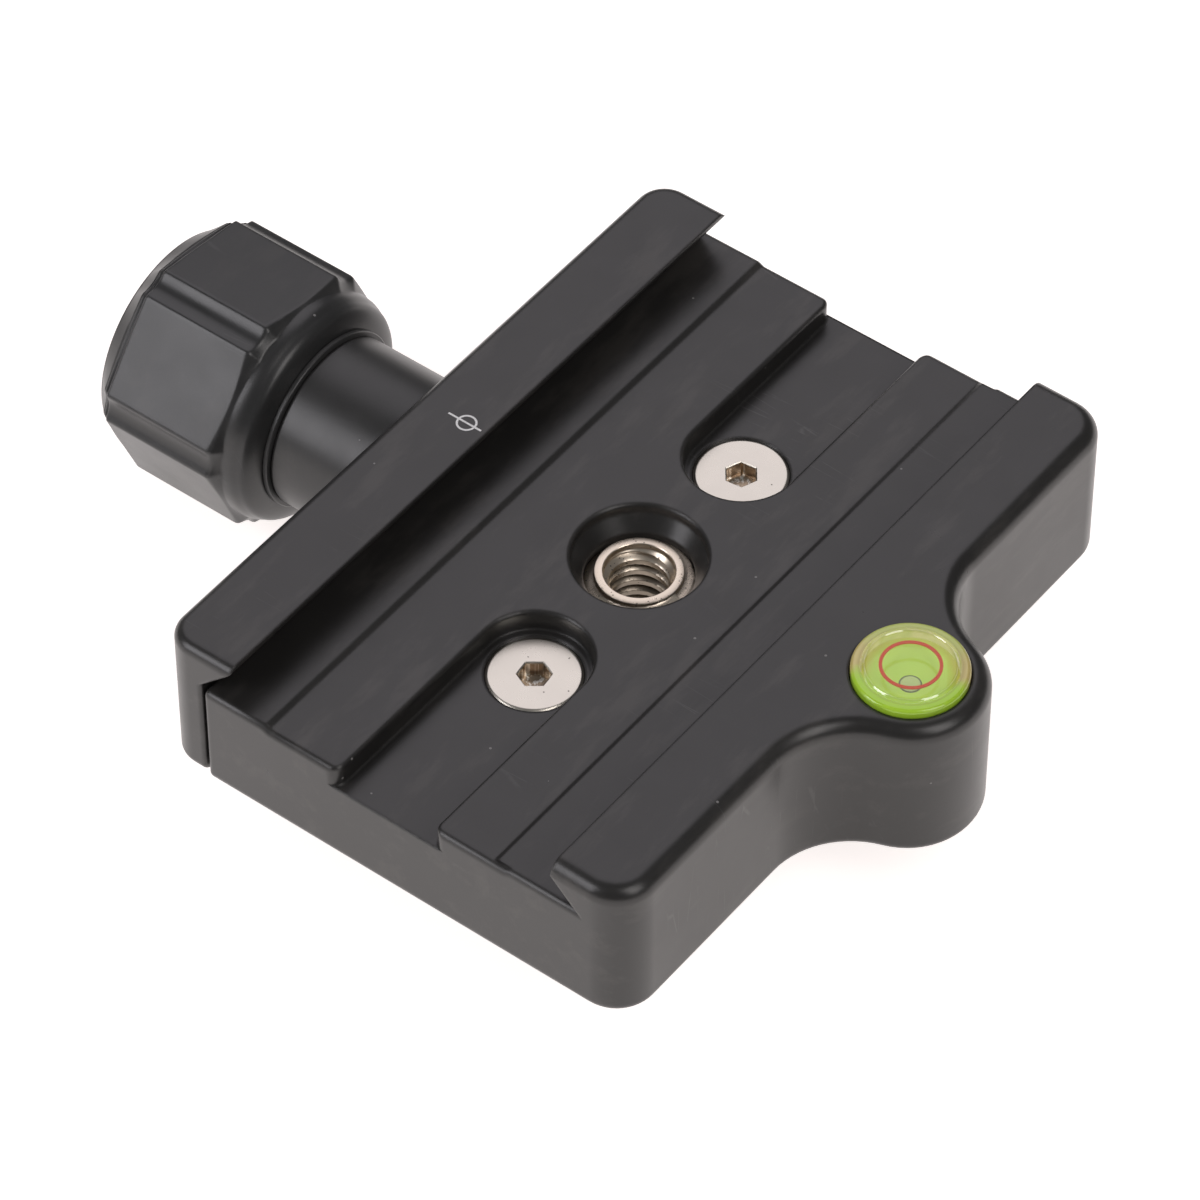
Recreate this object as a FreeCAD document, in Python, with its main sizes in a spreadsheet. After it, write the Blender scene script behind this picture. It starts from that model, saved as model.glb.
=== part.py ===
import FreeCAD, Part
import math
import os
import Sketcher

# Dovetail quick release clamp, in millimetres.
# X is the clamping direction: the knob is at -X and the fixed jaw with its level is at +X.
# Y runs along the dovetail channel and Z is up. The origin is on the axis of the centre
# thread, in the plane of the flat underside.

# Driving dimensions
SIZES = [
    # Clamp body
    ("body_length", 68.6, "length of the channel, end to end"),
    ("seam_reach", 19.15, "centre to the body's face beside the moving jaw"),
    ("pad_height", 11.0, "underside to the pads that a plate rests on"),
    ("jaw_rise", 4.0, "pads to the top of both jaws"),
    ("relief_depth", 0.3, "relieved middle of the channel below the pads"),
    ("relief_reach", 12.2, "centre to the foot of each pad's step"),
    ("relief_slope", 0.6, "width of each pad's sloping step"),
    ("fixed_lip_reach", 17.1, "centre to the tip of the fixed lip"),
    ("fixed_jaw_width", 7.64, "fixed jaw, lip's tip to outer side"),
    ("fixed_undercut", 2.7, "depth of the 45 degree undercut below the fixed lip"),
    ("body_corner_round", 3.8, "upright outer corners of the fixed jaw"),
    ("body_top_round", 1.5, "top outer edge of the fixed jaw"),
    ("bottom_round", 1.0, "outer bottom edges of the body and the moving jaw"),
    ("seam_edge_round", 0.45, "edges round the two faces that meet at the seam"),
    ("deck_end_round", 0.6, "ends of the deck"),
    ("deck_edge_round", 0.35, "edges of the grooves and the well"),
    # Ear that holds the level
    ("ear_stand", 3.16, "side of the fixed jaw to the axis of the level"),
    ("ear_round", 6.75, "radius of the ear's tip"),
    ("ear_root_round", 8.0, "hollow rounds that lead from the side into the ear"),
    # Stop grooves and their screws
    ("groove_half_width", 5.0, "half the width of a stop groove"),
    ("groove_depth", 2.1, "floor of a stop groove below the channel's floor"),
    ("mouth_round", 1.1, "flare at the mouth of a stop groove"),
    ("screw_reach", 14.4, "centre to each deck screw along the channel"),
    ("screw_head_radius", 4.14, "deck screw head"),
    ("screw_radius", 2.0, "deck screw shank"),
    ("screw_length", 7.6, "deck screw, head included"),
    ("screw_rim", 0.25, "straight rim above the countersink"),
    ("screw_head_drop", 0.05, "deck screw head below the floor of its groove"),
    ("screw_edge_bevel", 0.12, "bevel round the top of a deck screw"),
    ("hex_across_flats", 2.5, "hexagon socket of a deck screw"),
    ("hex_depth", 1.7, "depth of the hexagon socket"),
    # Centre thread and its reducing bush
    ("well_radius", 5.85, "mouth of the well round the centre thread"),
    ("well_wall", 0.9, "straight wall of the well below the channel floor"),
    ("well_foot_drop", 0.5, "foot of the well's cone below the bush's top"),
    ("centre_thread_radius", 4.76, "large tripod thread, crest to crest"),
    ("bush_root_radius", 3.85, "large tripod thread, root to root"),
    ("bush_bore_radius", 3.175, "small tripod thread, crest to crest"),
    ("bush_drop", 1.9, "top of the bush below the channel's floor"),
    ("bush_bottom", 0.15, "underside to the lower end of the bush"),
    ("bush_lead", 0.9, "lead of the bush that shows no crest"),
    ("bush_bevel", 0.35, "bevel at the bush's bore"),
    # Clamping screw
    ("screw_axis_drop", 5.3, "axis of the clamping screw below the pads"),
    ("stud_radius", 3.0, "clamping screw thread, crest to crest"),
    ("stud_inner_reach", 8.6, "centre to the end of the stud inside the body"),
    ("stud_bevel", 0.5, "bevel on the stud's ends"),
    ("pin_radius", 1.0, "cross pin through the stud"),
    ("pin_reach", 14.0, "centre to the cross pin"),
    ("pin_bottom", 0.5, "underside to the lower end of the cross pin"),
    ("pin_grip", 0.7, "cross pin above the stud"),
    # Guide rods and springs
    ("rod_spread", 20.5, "clamping screw to each guide rod"),
    ("rod_radius", 2.0, "guide rod"),
    ("rod_seat_depth", 4.0, "guide rod pressed into the moving jaw"),
    ("rod_inner_reach", 9.0, "centre to the free end of a guide rod"),
    ("rod_end_room", 1.0, "room past the free end of a guide rod"),
    ("rod_bevel", 0.3, "bevel on the ends of a guide rod"),
    ("spring_pocket_radius", 3.6, "spring pocket in the body"),
    ("spring_pocket_depth", 8.0, "spring pocket in the body"),
    ("spring_mean_radius", 2.8, "jaw spring, to the middle of its wire"),
    ("spring_wire_radius", 0.35, "jaw spring wire"),
    ("spring_turns", 6, "turns of a jaw spring"),
    # Moving jaw
    ("jaw_length", 68.0, "moving jaw, end to end"),
    ("jaw_width", 4.2, "moving jaw, seam to outer side"),
    ("jaw_lip", 3.2, "overhang of the moving jaw's 45 degree lip"),
    ("jaw_lip_land", 0.5, "upright tip of the moving jaw's lip"),
    ("jaw_corner_round", 2.8, "upright outer corners of the moving jaw"),
    ("jaw_top_round", 1.0, "top outer edge of the moving jaw"),
    # Neck barrel
    ("barrel_radius", 8.1, "neck barrel"),
    ("barrel_length", 10.0, "neck barrel outside the moving jaw"),
    ("barrel_bevel", 0.3, "bevel on the barrel's outer end"),
    ("spigot_radius", 5.5, "spigot that seats the barrel in the jaw"),
    ("spigot_length", 1.5, "spigot that seats the barrel in the jaw"),
    ("thrust_radius", 8.5, "thrust washer"),
    ("thrust_thickness", 0.45, "thrust washer"),
    # Knob
    ("knob_length", 16.85, "knob, end to end"),
    ("knob_across_flats", 22.1, "knob grip across its flats"),
    ("knob_flat_half_width", 4.85, "half the width of one flat"),
    ("knob_scallop_depth", 0.4, "hollow between two flats, below its chord"),
    ("knob_ridge_round", 0.35, "rounds beside each hollow"),
    ("knob_turn", 8.0, "angle of the knob's first flat from upright"),
    ("knob_rim_width", 1.95, "conical rim at the knob's outer end"),
    ("knob_rim_drop", 0.95, "edge of the outer end face below the flats"),
    ("knob_rim_land", 0.1, "wide end of the conical rim below the flats"),
    ("knob_rim_step", 1.0, "steep ends of the ridges beside the rim"),
    ("knob_shoulder_width", 3.0, "conical shoulder beside the collar"),
    ("knob_shoulder_drop", 0.5, "foot of the shoulder below the flats"),
    ("collar_drop", 0.45, "round collar below the flats"),
    ("collar_width", 1.6, "round collar"),
    ("collar_round", 1.0, "rounded edge of the collar"),
    ("insert_radius", 5.0, "threaded insert in the knob"),
    ("insert_length", 7.0, "threaded insert in the knob"),
    ("insert_bevel", 0.3, "bevel at the insert's bore"),
    ("knob_recess_radius", 6.5, "room in the knob for the stop"),
    ("cap_radius", 7.6, "end cap"),
    ("cap_thickness", 1.2, "end cap"),
    ("stop_radius", 4.6, "stop washer"),
    ("stop_thickness", 0.7, "stop washer"),
    ("stop_screw_radius", 1.5, "stop screw shank"),
    ("stop_screw_head_radius", 2.8, "stop screw head"),
    ("stop_screw_head", 1.3, "stop screw head height"),
    ("stop_screw_depth", 6.0, "stop screw shank inside the stud"),
    # Bull's-eye level
    ("vial_radius", 5.0, "level, outside"),
    ("vial_proud", 1.05, "level above the jaw's top"),
    ("vial_seat_depth", 4.2, "pocket for the level"),
    ("vial_bevel", 0.35, "bevel round the level's top"),
    ("vial_dome", 0.35, "rise of the level's domed top"),
    ("vial_disc", 0.5, "coloured disc below the level"),
    ("vial_wall", 0.9, "wall of the level"),
    ("vial_roof", 1.1, "window above the liquid"),
    ("ring_radius", 2.65, "centring ring, outside"),
    ("ring_width", 0.2, "centring ring"),
    ("ring_thickness", 0.1, "centring ring"),
    ("bubble_radius", 1.05, "hollow that the bubble fills"),
    ("bubble_depth", 0.5, "hollow that the bubble fills"),
    ("bubble_drift_x", 0.7, "bubble from the level's axis, along X"),
    ("bubble_drift_y", 1.0, "bubble from the level's axis, towards the near end"),
    # Clearances
    ("seam_clearance", 0.45, "moving jaw to the body, as the photo shows it"),
    ("running_clearance", 0.05, "round a rod, the stud's thread and the knob's face"),
    ("passing_clearance", 0.3, "round the stud where it only passes"),
    ("jaw_travel", 4.8, "opening of the jaw from the position shown"),
    ("stop_clearance", 0.1, "insert to the stop washer with the jaw fully open"),
    ("closing_travel", 0.4, "closing of the jaw from the position shown"),
    ("spring_end_clearance", 0.1, "spring to the moving jaw when that is closed"),
    ("vial_clearance", 0.1, "round the level in its pocket"),
    ("screw_head_clearance", 0.12, "round a deck screw's head"),
]

FIRST_ROW = 1
HALF = 0.5
RIGHT_ANGLE = 90.0
FULL_TURN = 360.0
HEXAGON = 6
SAME_PLACE = 1e-4
PART_FOLDER = "parts"

doc = FreeCAD.newDocument("dovetail_clamp")
sheet = doc.addObject("Spreadsheet::Sheet", "Sizes")
for row, (alias, number, note) in enumerate(SIZES, FIRST_ROW):
    sheet.set(f"A{row}", alias)
    sheet.set(f"B{row}", str(number))
    sheet.setAlias(f"B{row}", alias)
    sheet.set(f"C{row}", note)
doc.recompute()


class Size:
    """A length that knows its number and the expression that gives it in the document."""

    def __init__(self, value, text=None):
        self.value = float(value)
        self.text = text or repr(float(value))

    def joined(self, other, sign, value):
        return Size(value, f"({self.text} {sign} {as_size(other).text})")

    def __add__(self, other):
        return self.joined(other, "+", self.value + as_size(other).value)

    def __sub__(self, other):
        return self.joined(other, "-", self.value - as_size(other).value)

    def __mul__(self, other):
        return self.joined(other, "*", self.value * as_size(other).value)

    def __truediv__(self, other):
        return self.joined(other, "/", self.value / as_size(other).value)

    def __radd__(self, other):
        return as_size(other) + self

    def __rsub__(self, other):
        return as_size(other) - self

    def __rmul__(self, other):
        return as_size(other) * self

    def __neg__(self):
        return Size(-self.value, f"(-{self.text})")

    def root(self):
        return Size(math.sqrt(self.value), f"sqrt({self.text})")

    def tangent(self):
        """Tangent of this many degrees."""
        return Size(math.tan(math.radians(self.value)), f"tan({self.text} * 1 deg)")

    def sine(self):
        """Sine of this many degrees."""
        return Size(math.sin(math.radians(self.value)), f"sin({self.text} * 1 deg)")

    def cosine(self):
        """Cosine of this many degrees."""
        return Size(math.cos(math.radians(self.value)), f"cos({self.text} * 1 deg)")


def as_size(number):
    return number if isinstance(number, Size) else Size(number)


def size(alias):
    return Size(float(sheet.get(alias)), f"{sheet.Name}.{alias}")


ZERO = Size(0.0)


# Bodies, sketches and features
pieces = []


def new_body(label, x=ZERO, y=ZERO, z=ZERO):
    """A piece modelled about its own origin and put in place by its Placement."""
    body = doc.addObject("PartDesign::Body", label)
    body.Label = label
    for axis, place in zip("xyz", (x, y, z)):
        body.setExpression(f"Placement.Base.{axis}", as_size(place).text)
    pieces.append(body)
    return body


def new_sketch(body, name, plane, lift=ZERO, shift=ZERO, raise_by=ZERO):
    """A sketch on one of the body's own planes: lifted off it, shifted and raised within it."""
    sketch = body.newObject("Sketcher::SketchObject", f"{body.Name}_{name}")
    support = next(item for item in body.Origin.OriginFeatures if item.Role == plane)
    sketch.AttachmentSupport = [(support, "")]
    sketch.MapMode = "FlatFace"
    for axis, offset in zip("xyz", (shift, raise_by, lift)):
        if offset is not ZERO:
            sketch.setExpression(f"AttachmentOffset.Base.{axis}", as_size(offset).text)
    return sketch


def vector(point):
    return FreeCAD.Vector(as_size(point[0]).value, as_size(point[1]).value, 0.0)


def fix_point(sketch, geometry, end, point):
    """Ties one end of a sketch edge to its place."""
    for kind, coordinate in zip(("DistanceX", "DistanceY"), point):
        coordinate = as_size(coordinate)
        constraint = Sketcher.Constraint(kind, -1, 1, geometry, end, coordinate.value)
        index = sketch.addConstraint(constraint)
        sketch.setExpression(f"Constraints[{index}]", coordinate.text)


def arc_between(start, end, radius, left):
    """The arc shorter than half a turn that leaves start towards end, bending left or right."""
    first, last = vector(start), vector(end)
    chord = last - first
    rise = math.sqrt(max(radius.value ** 2 - (chord.Length / 2) ** 2, 0.0))
    side = FreeCAD.Vector(-chord.y, chord.x, 0.0).normalize()
    centre = (first + last) * HALF + side * (rise if left else -rise)
    first_angle = math.atan2(first.y - centre.y, first.x - centre.x)
    last_angle = math.atan2(last.y - centre.y, last.x - centre.x)
    circle = Part.Circle(centre, FreeCAD.Vector(0, 0, 1), radius.value)
    if left:
        return Part.ArcOfCircle(circle, first_angle, last_angle)
    return Part.ArcOfCircle(circle, last_angle, first_angle)


def draw_outline(sketch, corners):
    """Closed outline. A corner is (x, y), or (x, y, radius, left) where an arc leads to the next one."""
    edges = []
    for number, corner in enumerate(corners):
        following = corners[(number + 1) % len(corners)]
        if len(corner) == 2:
            edge = Part.LineSegment(vector(corner), vector(following))
            ends = (1, 2)
        else:
            edge = arc_between(corner, following, corner[2], corner[3])
            ends = (1, 2) if corner[3] else (2, 1)
        edges.append((sketch.addGeometry(edge), ends))
    for number, corner in enumerate(corners):
        index, ends = edges[number]
        next_index, next_ends = edges[(number + 1) % len(corners)]
        fix_point(sketch, index, ends[0], corner[:2])
        sketch.addConstraint(Sketcher.Constraint("Coincident", index, ends[1], next_index, next_ends[0]))
        if len(corner) == 4:
            row = sketch.addConstraint(Sketcher.Constraint("Radius", index, corner[2].value))
            sketch.setExpression(f"Constraints[{row}]", corner[2].text)


def draw_circle(sketch, x, y, radius):
    circle = Part.Circle(vector((x, y)), FreeCAD.Vector(0, 0, 1), radius.value)
    index = sketch.addGeometry(circle)
    fix_point(sketch, index, 3, (x, y))
    row = sketch.addConstraint(Sketcher.Constraint("Radius", index, radius.value))
    sketch.setExpression(f"Constraints[{row}]", radius.text)


def pad(body, sketch, length, both_ways=False, backwards=False):
    feature = body.newObject("PartDesign::Pad", f"{sketch.Name}_pad")
    feature.Profile = sketch
    feature.setExpression("Length", length.text)
    feature.Midplane = both_ways
    feature.Reversed = backwards
    sketch.Visibility = False
    return feature


def pocket(body, sketch, length, upwards):
    """Removes the outline over a length along the sketch's normal, or against it."""
    feature = body.newObject("PartDesign::Pocket", f"{sketch.Name}_pocket")
    feature.Profile = sketch
    feature.setExpression("Length", length.text)
    feature.Reversed = upwards
    sketch.Visibility = False
    return feature


def turn(body, sketch, axis):
    feature = body.newObject("PartDesign::Revolution", f"{sketch.Name}_turned")
    feature.Profile = sketch
    feature.ReferenceAxis = (sketch, [axis])
    feature.Angle = FULL_TURN
    sketch.Visibility = False
    return feature


def turn_away(body, sketch, axis):
    feature = body.newObject("PartDesign::Groove", f"{sketch.Name}_turned_away")
    feature.Profile = sketch
    feature.ReferenceAxis = (sketch, [axis])
    feature.Angle = FULL_TURN
    sketch.Visibility = False
    return feature


def mirror(body, features, plane):
    """Repeats features on the other side of one of the body's own planes."""
    feature = body.newObject("PartDesign::Mirrored", f"{features[-1].Name}_mirrored")
    feature.Originals = features
    support = next(item for item in body.Origin.OriginFeatures if item.Role == plane)
    feature.MirrorPlane = (support, [""])
    body.Tip = feature
    return feature


def edges_where(body, test):
    """Names of the body's present edges whose middle and ends pass a test."""
    found = []
    for number, edge in enumerate(body.Tip.Shape.Edges, 1):
        middle = edge.valueAt((edge.FirstParameter + edge.LastParameter) * HALF)
        ends = [vertex.Point for vertex in edge.Vertexes]
        if test(middle, ends):
            found.append(f"Edge{number}")
    return found


def soften(body, name, test, radius, kind="Fillet"):
    """Rounds or bevels the edges that pass a test."""
    doc.recompute()
    base = body.Tip
    names = edges_where(body, test)
    if not names:
        raise RuntimeError(f"{body.Label}: no edge found for {name}")
    feature = body.newObject(f"PartDesign::{kind}", f"{body.Name}_{name}")
    feature.Base = (base, names)
    feature.setExpression("Radius" if kind == "Fillet" else "Size", radius.text)
    base.Visibility = False
    doc.recompute()
    if "Invalid" in feature.State or feature.Shape.isNull():
        raise RuntimeError(f"{body.Label}: {name} failed on {len(names)} edges: {feature.State}")
    return feature


def near(number, target):
    return abs(number - as_size(target).value) < SAME_PLACE


# Places that several pieces share
jaw_top = size("pad_height") + size("jaw_rise")
floor = size("pad_height") - size("relief_depth")
groove_floor = floor - size("groove_depth")
bush_top = floor - size("bush_drop")
side_face = size("fixed_lip_reach") + size("fixed_jaw_width")
level_reach = side_face + size("ear_stand")
screw_axis = size("pad_height") - size("screw_axis_drop")
pin_top = screw_axis + size("stud_radius") + size("pin_grip")
body_end = size("body_length") * HALF
past = jaw_top
jaw_face = size("seam_reach") + size("seam_clearance")
jaw_back = jaw_face + size("jaw_width")
barrel_end = jaw_back + size("barrel_length")
knob_face = barrel_end + size("running_clearance") + size("thrust_thickness")
stud_end = knob_face + size("insert_length") + size("jaw_travel") + size("stop_clearance")
seat_foot = (groove_floor - size("screw_head_drop") - size("screw_rim")
             - size("screw_head_radius") + size("screw_radius"))
passing_radius = size("stud_radius") + size("passing_clearance")
vial_foot = jaw_top - size("vial_seat_depth")
vial_top = size("vial_seat_depth") + size("vial_proud")
window_foot = vial_top - size("vial_roof")


# Clamp body: milled from one block with the fixed jaw and the ear
def make_clamp_base():
    body = new_body("clamp_base")
    add_end_section(body)
    add_ear(body)
    soften(body, "corners", lambda middle, ends: upright(ends) and near(middle.x, side_face)
           and near(abs(middle.y), body_end), size("body_corner_round"))
    soften(body, "bottom_edge", lambda middle, ends: level_with(ends, ZERO)
           and not near(-middle.x, size("seam_reach")), size("bottom_round"))
    soften(body, "deck_ends", lambda middle, ends: near(abs(middle.y), body_end)
           and near(abs(ends[0].y), body_end) and floor.value - SAME_PLACE < middle.z
           and middle.z < size("pad_height").value + SAME_PLACE
           and all(abs(point.z - middle.z) < size("relief_depth").value for point in ends),
           size("deck_end_round"))
    soften(body, "seam_edges", lambda middle, ends: upright(ends) and near(-middle.x, size("seam_reach")),
           size("seam_edge_round"))
    soften(body, "top_edge", lambda middle, ends: level_with(ends, jaw_top)
           and not near(middle.x, size("fixed_lip_reach")), size("body_top_round"))
    cut_stop_grooves(body)
    cut_well(body)
    cut_screw_seats(body)
    cut_stud_bore(body)
    cut_rod_bores(body)
    cut_vial_pocket(body)
    soften_deck(body)
    return body


def upright(ends):
    return len(ends) == 2 and near(ends[0].x, ends[1].x) and near(ends[0].y, ends[1].y)


def level_with(ends, height):
    return all(near(point.z, height) for point in ends)


def add_end_section(body):
    """The channel's section with the fixed jaw's 45 degree undercut, drawn out along Y."""
    lip, undercut = size("fixed_lip_reach"), size("fixed_undercut")
    deck = size("pad_height")
    foot, step = size("relief_reach"), size("relief_reach") + size("relief_slope")
    sketch = new_sketch(body, "end_section", "XZ_Plane")
    draw_outline(sketch, [
        (-size("seam_reach"), ZERO),
        (side_face, ZERO),
        (side_face, jaw_top),
        (lip, jaw_top),
        (lip, deck + undercut),
        (lip + undercut, deck),
        (step, deck),
        (foot, floor),
        (-foot, floor),
        (-step, deck),
        (-size("seam_reach"), deck),
    ])
    pad(body, sketch, size("body_length"), both_ways=True)


def add_ear(body):
    """Bell-shaped ear: a round tip led into the side by two hollow rounds, all tangent."""
    side, tip, root = side_face, size("ear_round"), size("ear_root_round")
    inner = side - size("body_corner_round")
    across = root - size("ear_stand")
    spread = ((tip + root) * (tip + root) - across * across).root()
    share = tip / (tip + root)
    joint_x = level_reach + across * share
    joint_y = spread * share
    sketch = new_sketch(body, "ear", "XY_Plane")
    draw_outline(sketch, [
        (inner, -spread),
        (side, -spread, root, False),
        (joint_x, -joint_y, tip, True),
        (joint_x, joint_y, root, False),
        (side, spread),
        (inner, spread),
    ])
    pad(body, sketch, jaw_top)


def cut_stop_grooves(body):
    """From each end a groove for a plate's stop screw, round at its closed end, flared at its mouth."""
    half, mouth, screw = size("groove_half_width"), size("mouth_round"), size("screw_reach")
    flare_start = body_end - mouth
    sketch = new_sketch(body, "stop_groove", "XY_Plane", lift=groove_floor)
    draw_outline(sketch, [
        (-half, -screw, half, False),
        (ZERO, half - screw, half, False),
        (half, -screw),
        (half, -flare_start, mouth, True),
        (half + mouth, -body_end),
        (half + mouth, -body_end - past),
        (-half - mouth, -body_end - past),
        (-half - mouth, -body_end, mouth, True),
        (-half, -flare_start),
    ])
    groove = pocket(body, sketch, past, upwards=True)
    mirror(body, [groove], "XZ_Plane")


def cut_well(body):
    """Well and through thread of the centre hole, turned about Z."""
    mouth, thread = size("well_radius"), size("centre_thread_radius")
    sketch = new_sketch(body, "well", "XZ_Plane")
    draw_outline(sketch, [
        (ZERO, -past),
        (thread, -past),
        (thread, bush_top - size("well_foot_drop")),
        (mouth, floor - size("well_wall")),
        (mouth, floor + past),
        (ZERO, floor + past),
    ])
    turn_away(body, sketch, "V_Axis")


def cut_screw_seats(body):
    """Countersunk through hole at the closed end of each groove."""
    shank = size("screw_radius")
    mouth = size("screw_head_radius") + size("screw_head_clearance")
    sketch = new_sketch(body, "screw_seat", "XZ_Plane", lift=size("screw_reach"))
    draw_outline(sketch, [
        (ZERO, -past),
        (shank, -past),
        (shank, seat_foot),
        (mouth, seat_foot + mouth - shank),
        (mouth, seat_foot + past),
        (ZERO, seat_foot + past),
    ])
    seat = turn_away(body, sketch, "V_Axis")
    mirror(body, [seat], "XZ_Plane")


def cut_stud_bore(body):
    """Blind thread for the clamping screw's stud, and the cross pin's hole from below."""
    bore = new_sketch(body, "stud_bore", "YZ_Plane", lift=-size("seam_reach"))
    draw_circle(bore, ZERO, screw_axis, size("stud_radius"))
    pocket(body, bore, size("seam_reach") - size("stud_inner_reach"), upwards=True)
    cross = new_sketch(body, "pin_hole", "XY_Plane")
    draw_circle(cross, -size("pin_reach"), ZERO, size("pin_radius"))
    pocket(body, cross, pin_top, upwards=True)


def cut_rod_bores(body):
    """A sliding bore for each guide rod, with the spring's pocket at its mouth."""
    bore = new_sketch(body, "rod_bore", "YZ_Plane", lift=-size("seam_reach"))
    draw_circle(bore, size("rod_spread"), screw_axis, size("rod_radius") + size("running_clearance"))
    depth = size("seam_reach") - size("rod_inner_reach") + size("rod_end_room")
    bore_cut = pocket(body, bore, depth, upwards=True)
    well = new_sketch(body, "spring_pocket", "YZ_Plane", lift=-size("seam_reach"))
    draw_circle(well, size("rod_spread"), screw_axis, size("spring_pocket_radius"))
    well_cut = pocket(body, well, size("spring_pocket_depth"), upwards=True)
    mirror(body, [bore_cut, well_cut], "XZ_Plane")


def cut_vial_pocket(body):
    sketch = new_sketch(body, "vial_pocket", "XY_Plane", lift=vial_foot)
    draw_circle(sketch, level_reach, ZERO, size("vial_radius") + size("vial_clearance"))
    pocket(body, sketch, past, upwards=True)


def soften_deck(body):
    """Small rounds round the grooves and the well and on the deck's ends."""
    soften(body, "deck_edges", lambda middle, ends: level_with(ends, floor)
           and near(middle.z, floor) and abs(middle.x) < size("relief_reach").value - SAME_PLACE,
           size("deck_edge_round"))


# Moving jaw: a bar with the second 45 degree lip
def make_moving_jaw():
    body = new_body("moving_jaw")
    tip = size("jaw_lip") - jaw_face
    land = jaw_top - size("jaw_lip_land")
    section = new_sketch(body, "section", "XZ_Plane")
    draw_outline(section, [
        (-jaw_back, ZERO),
        (-jaw_face, ZERO),
        (-jaw_face, land - size("jaw_lip")),
        (tip, land),
        (tip, jaw_top),
        (-jaw_back, jaw_top),
    ])
    pad(body, section, size("jaw_length"), both_ways=True)
    soften(body, "corners", lambda middle, ends: upright(ends) and near(-middle.x, jaw_back),
           size("jaw_corner_round"))
    soften(body, "bottom_edge", lambda middle, ends: level_with(ends, ZERO)
           and not near(-middle.x, jaw_face), size("bottom_round"))
    soften(body, "seam_edges", lambda middle, ends: upright(ends) and near(-middle.x, jaw_face),
           size("seam_edge_round"))
    soften(body, "top_edge", lambda middle, ends: level_with(ends, jaw_top) and not near(middle.x, tip),
           size("jaw_top_round"))
    cut_jaw_bores(body)
    return body


def cut_jaw_bores(body):
    """Press seats for the guide rods, and the barrel's seat with the stud's way through it."""
    rods = new_sketch(body, "rod_seats", "YZ_Plane", lift=-jaw_face)
    for side in (-1.0, 1.0):
        draw_circle(rods, size("rod_spread") * side, screw_axis, size("rod_radius"))
    pocket(body, rods, size("rod_seat_depth"), upwards=False)
    way = new_sketch(body, "stud_way", "YZ_Plane", lift=-jaw_face)
    draw_circle(way, ZERO, screw_axis, passing_radius)
    pocket(body, way, past, upwards=False)
    seat = new_sketch(body, "spigot_seat", "YZ_Plane", lift=-jaw_back)
    draw_circle(seat, ZERO, screw_axis, size("spigot_radius"))
    pocket(body, seat, size("spigot_length"), upwards=True)


# Pieces turned about the clamping screw's axis or a line beside it
def turned_along_x(label, x, outline, y=ZERO):
    """A piece turned about X. The outline's corners are (along X from the piece's origin, radius)."""
    body = new_body(label, x=x, y=y, z=screw_axis)
    sketch = new_sketch(body, "profile", "XZ_Plane")
    draw_outline(sketch, outline)
    turn(body, sketch, "H_Axis")
    return body


def make_neck_barrel():
    """Barrel that holds the knob off the jaw, seated in the jaw by its spigot."""
    length, bevel, radius = size("barrel_length"), size("barrel_bevel"), size("barrel_radius")
    return turned_along_x("neck_barrel", -jaw_back, [
        (size("spigot_length"), passing_radius),
        (size("spigot_length"), size("spigot_radius")),
        (ZERO, size("spigot_radius")),
        (ZERO, radius),
        (bevel - length, radius),
        (-length, radius - bevel),
        (-length, passing_radius),
    ])


def make_thrust_washer():
    thickness = size("thrust_thickness")
    return turned_along_x("thrust_washer", -knob_face, [
        (ZERO, passing_radius),
        (thickness, passing_radius),
        (thickness, size("thrust_radius")),
        (ZERO, size("thrust_radius")),
    ])


def make_clamp_stud():
    """Stud of the clamping screw, bored for the stop screw and cross-drilled for its pin."""
    radius, bevel = size("stud_radius"), size("stud_bevel")
    length = stud_end - size("stud_inner_reach")
    shank = size("stop_screw_radius")
    body = turned_along_x("clamp_stud", -size("stud_inner_reach"), [
        (ZERO, ZERO),
        (ZERO, radius - bevel),
        (-bevel, radius),
        (bevel - length, radius),
        (-length, radius - bevel),
        (-length, shank),
        (size("stop_screw_depth") - length, shank),
        (size("stop_screw_depth") - length, ZERO),
    ])
    cross = new_sketch(body, "pin_hole", "XY_Plane", lift=-past)
    draw_circle(cross, size("stud_inner_reach") - size("pin_reach"), ZERO, size("pin_radius"))
    pocket(body, cross, past * 2, upwards=True)
    return body


def make_stud_pin():
    body = new_body("stud_pin", x=-size("pin_reach"))
    sketch = new_sketch(body, "round", "XY_Plane", lift=size("pin_bottom"))
    draw_circle(sketch, ZERO, ZERO, size("pin_radius"))
    pad(body, sketch, pin_top - size("pin_bottom"))
    return body


def make_stop_washer():
    thickness = size("stop_thickness")
    return turned_along_x("stop_washer", -stud_end, [
        (ZERO, size("stop_screw_radius")),
        (ZERO, size("stop_radius")),
        (-thickness, size("stop_radius")),
        (-thickness, size("stop_screw_radius")),
    ])


def make_stop_screw():
    """Screw in the stud's end that holds the stop washer."""
    seat = -size("stop_thickness")
    return turned_along_x("stop_screw", -stud_end, [
        (size("stop_screw_depth"), ZERO),
        (size("stop_screw_depth"), size("stop_screw_radius")),
        (seat, size("stop_screw_radius")),
        (seat, size("stop_screw_head_radius")),
        (seat - size("stop_screw_head"), size("stop_screw_head_radius")),
        (seat - size("stop_screw_head"), ZERO),
    ])


def make_guide_rod(label, side):
    radius, bevel = size("rod_radius"), size("rod_bevel")
    length = jaw_face + size("rod_seat_depth") - size("rod_inner_reach")
    return turned_along_x(label, -size("rod_inner_reach"), [
        (ZERO, ZERO),
        (ZERO, radius - bevel),
        (-bevel, radius),
        (bevel - length, radius),
        (-length, radius - bevel),
        (-length, ZERO),
    ], y=size("rod_spread") * side)


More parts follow.
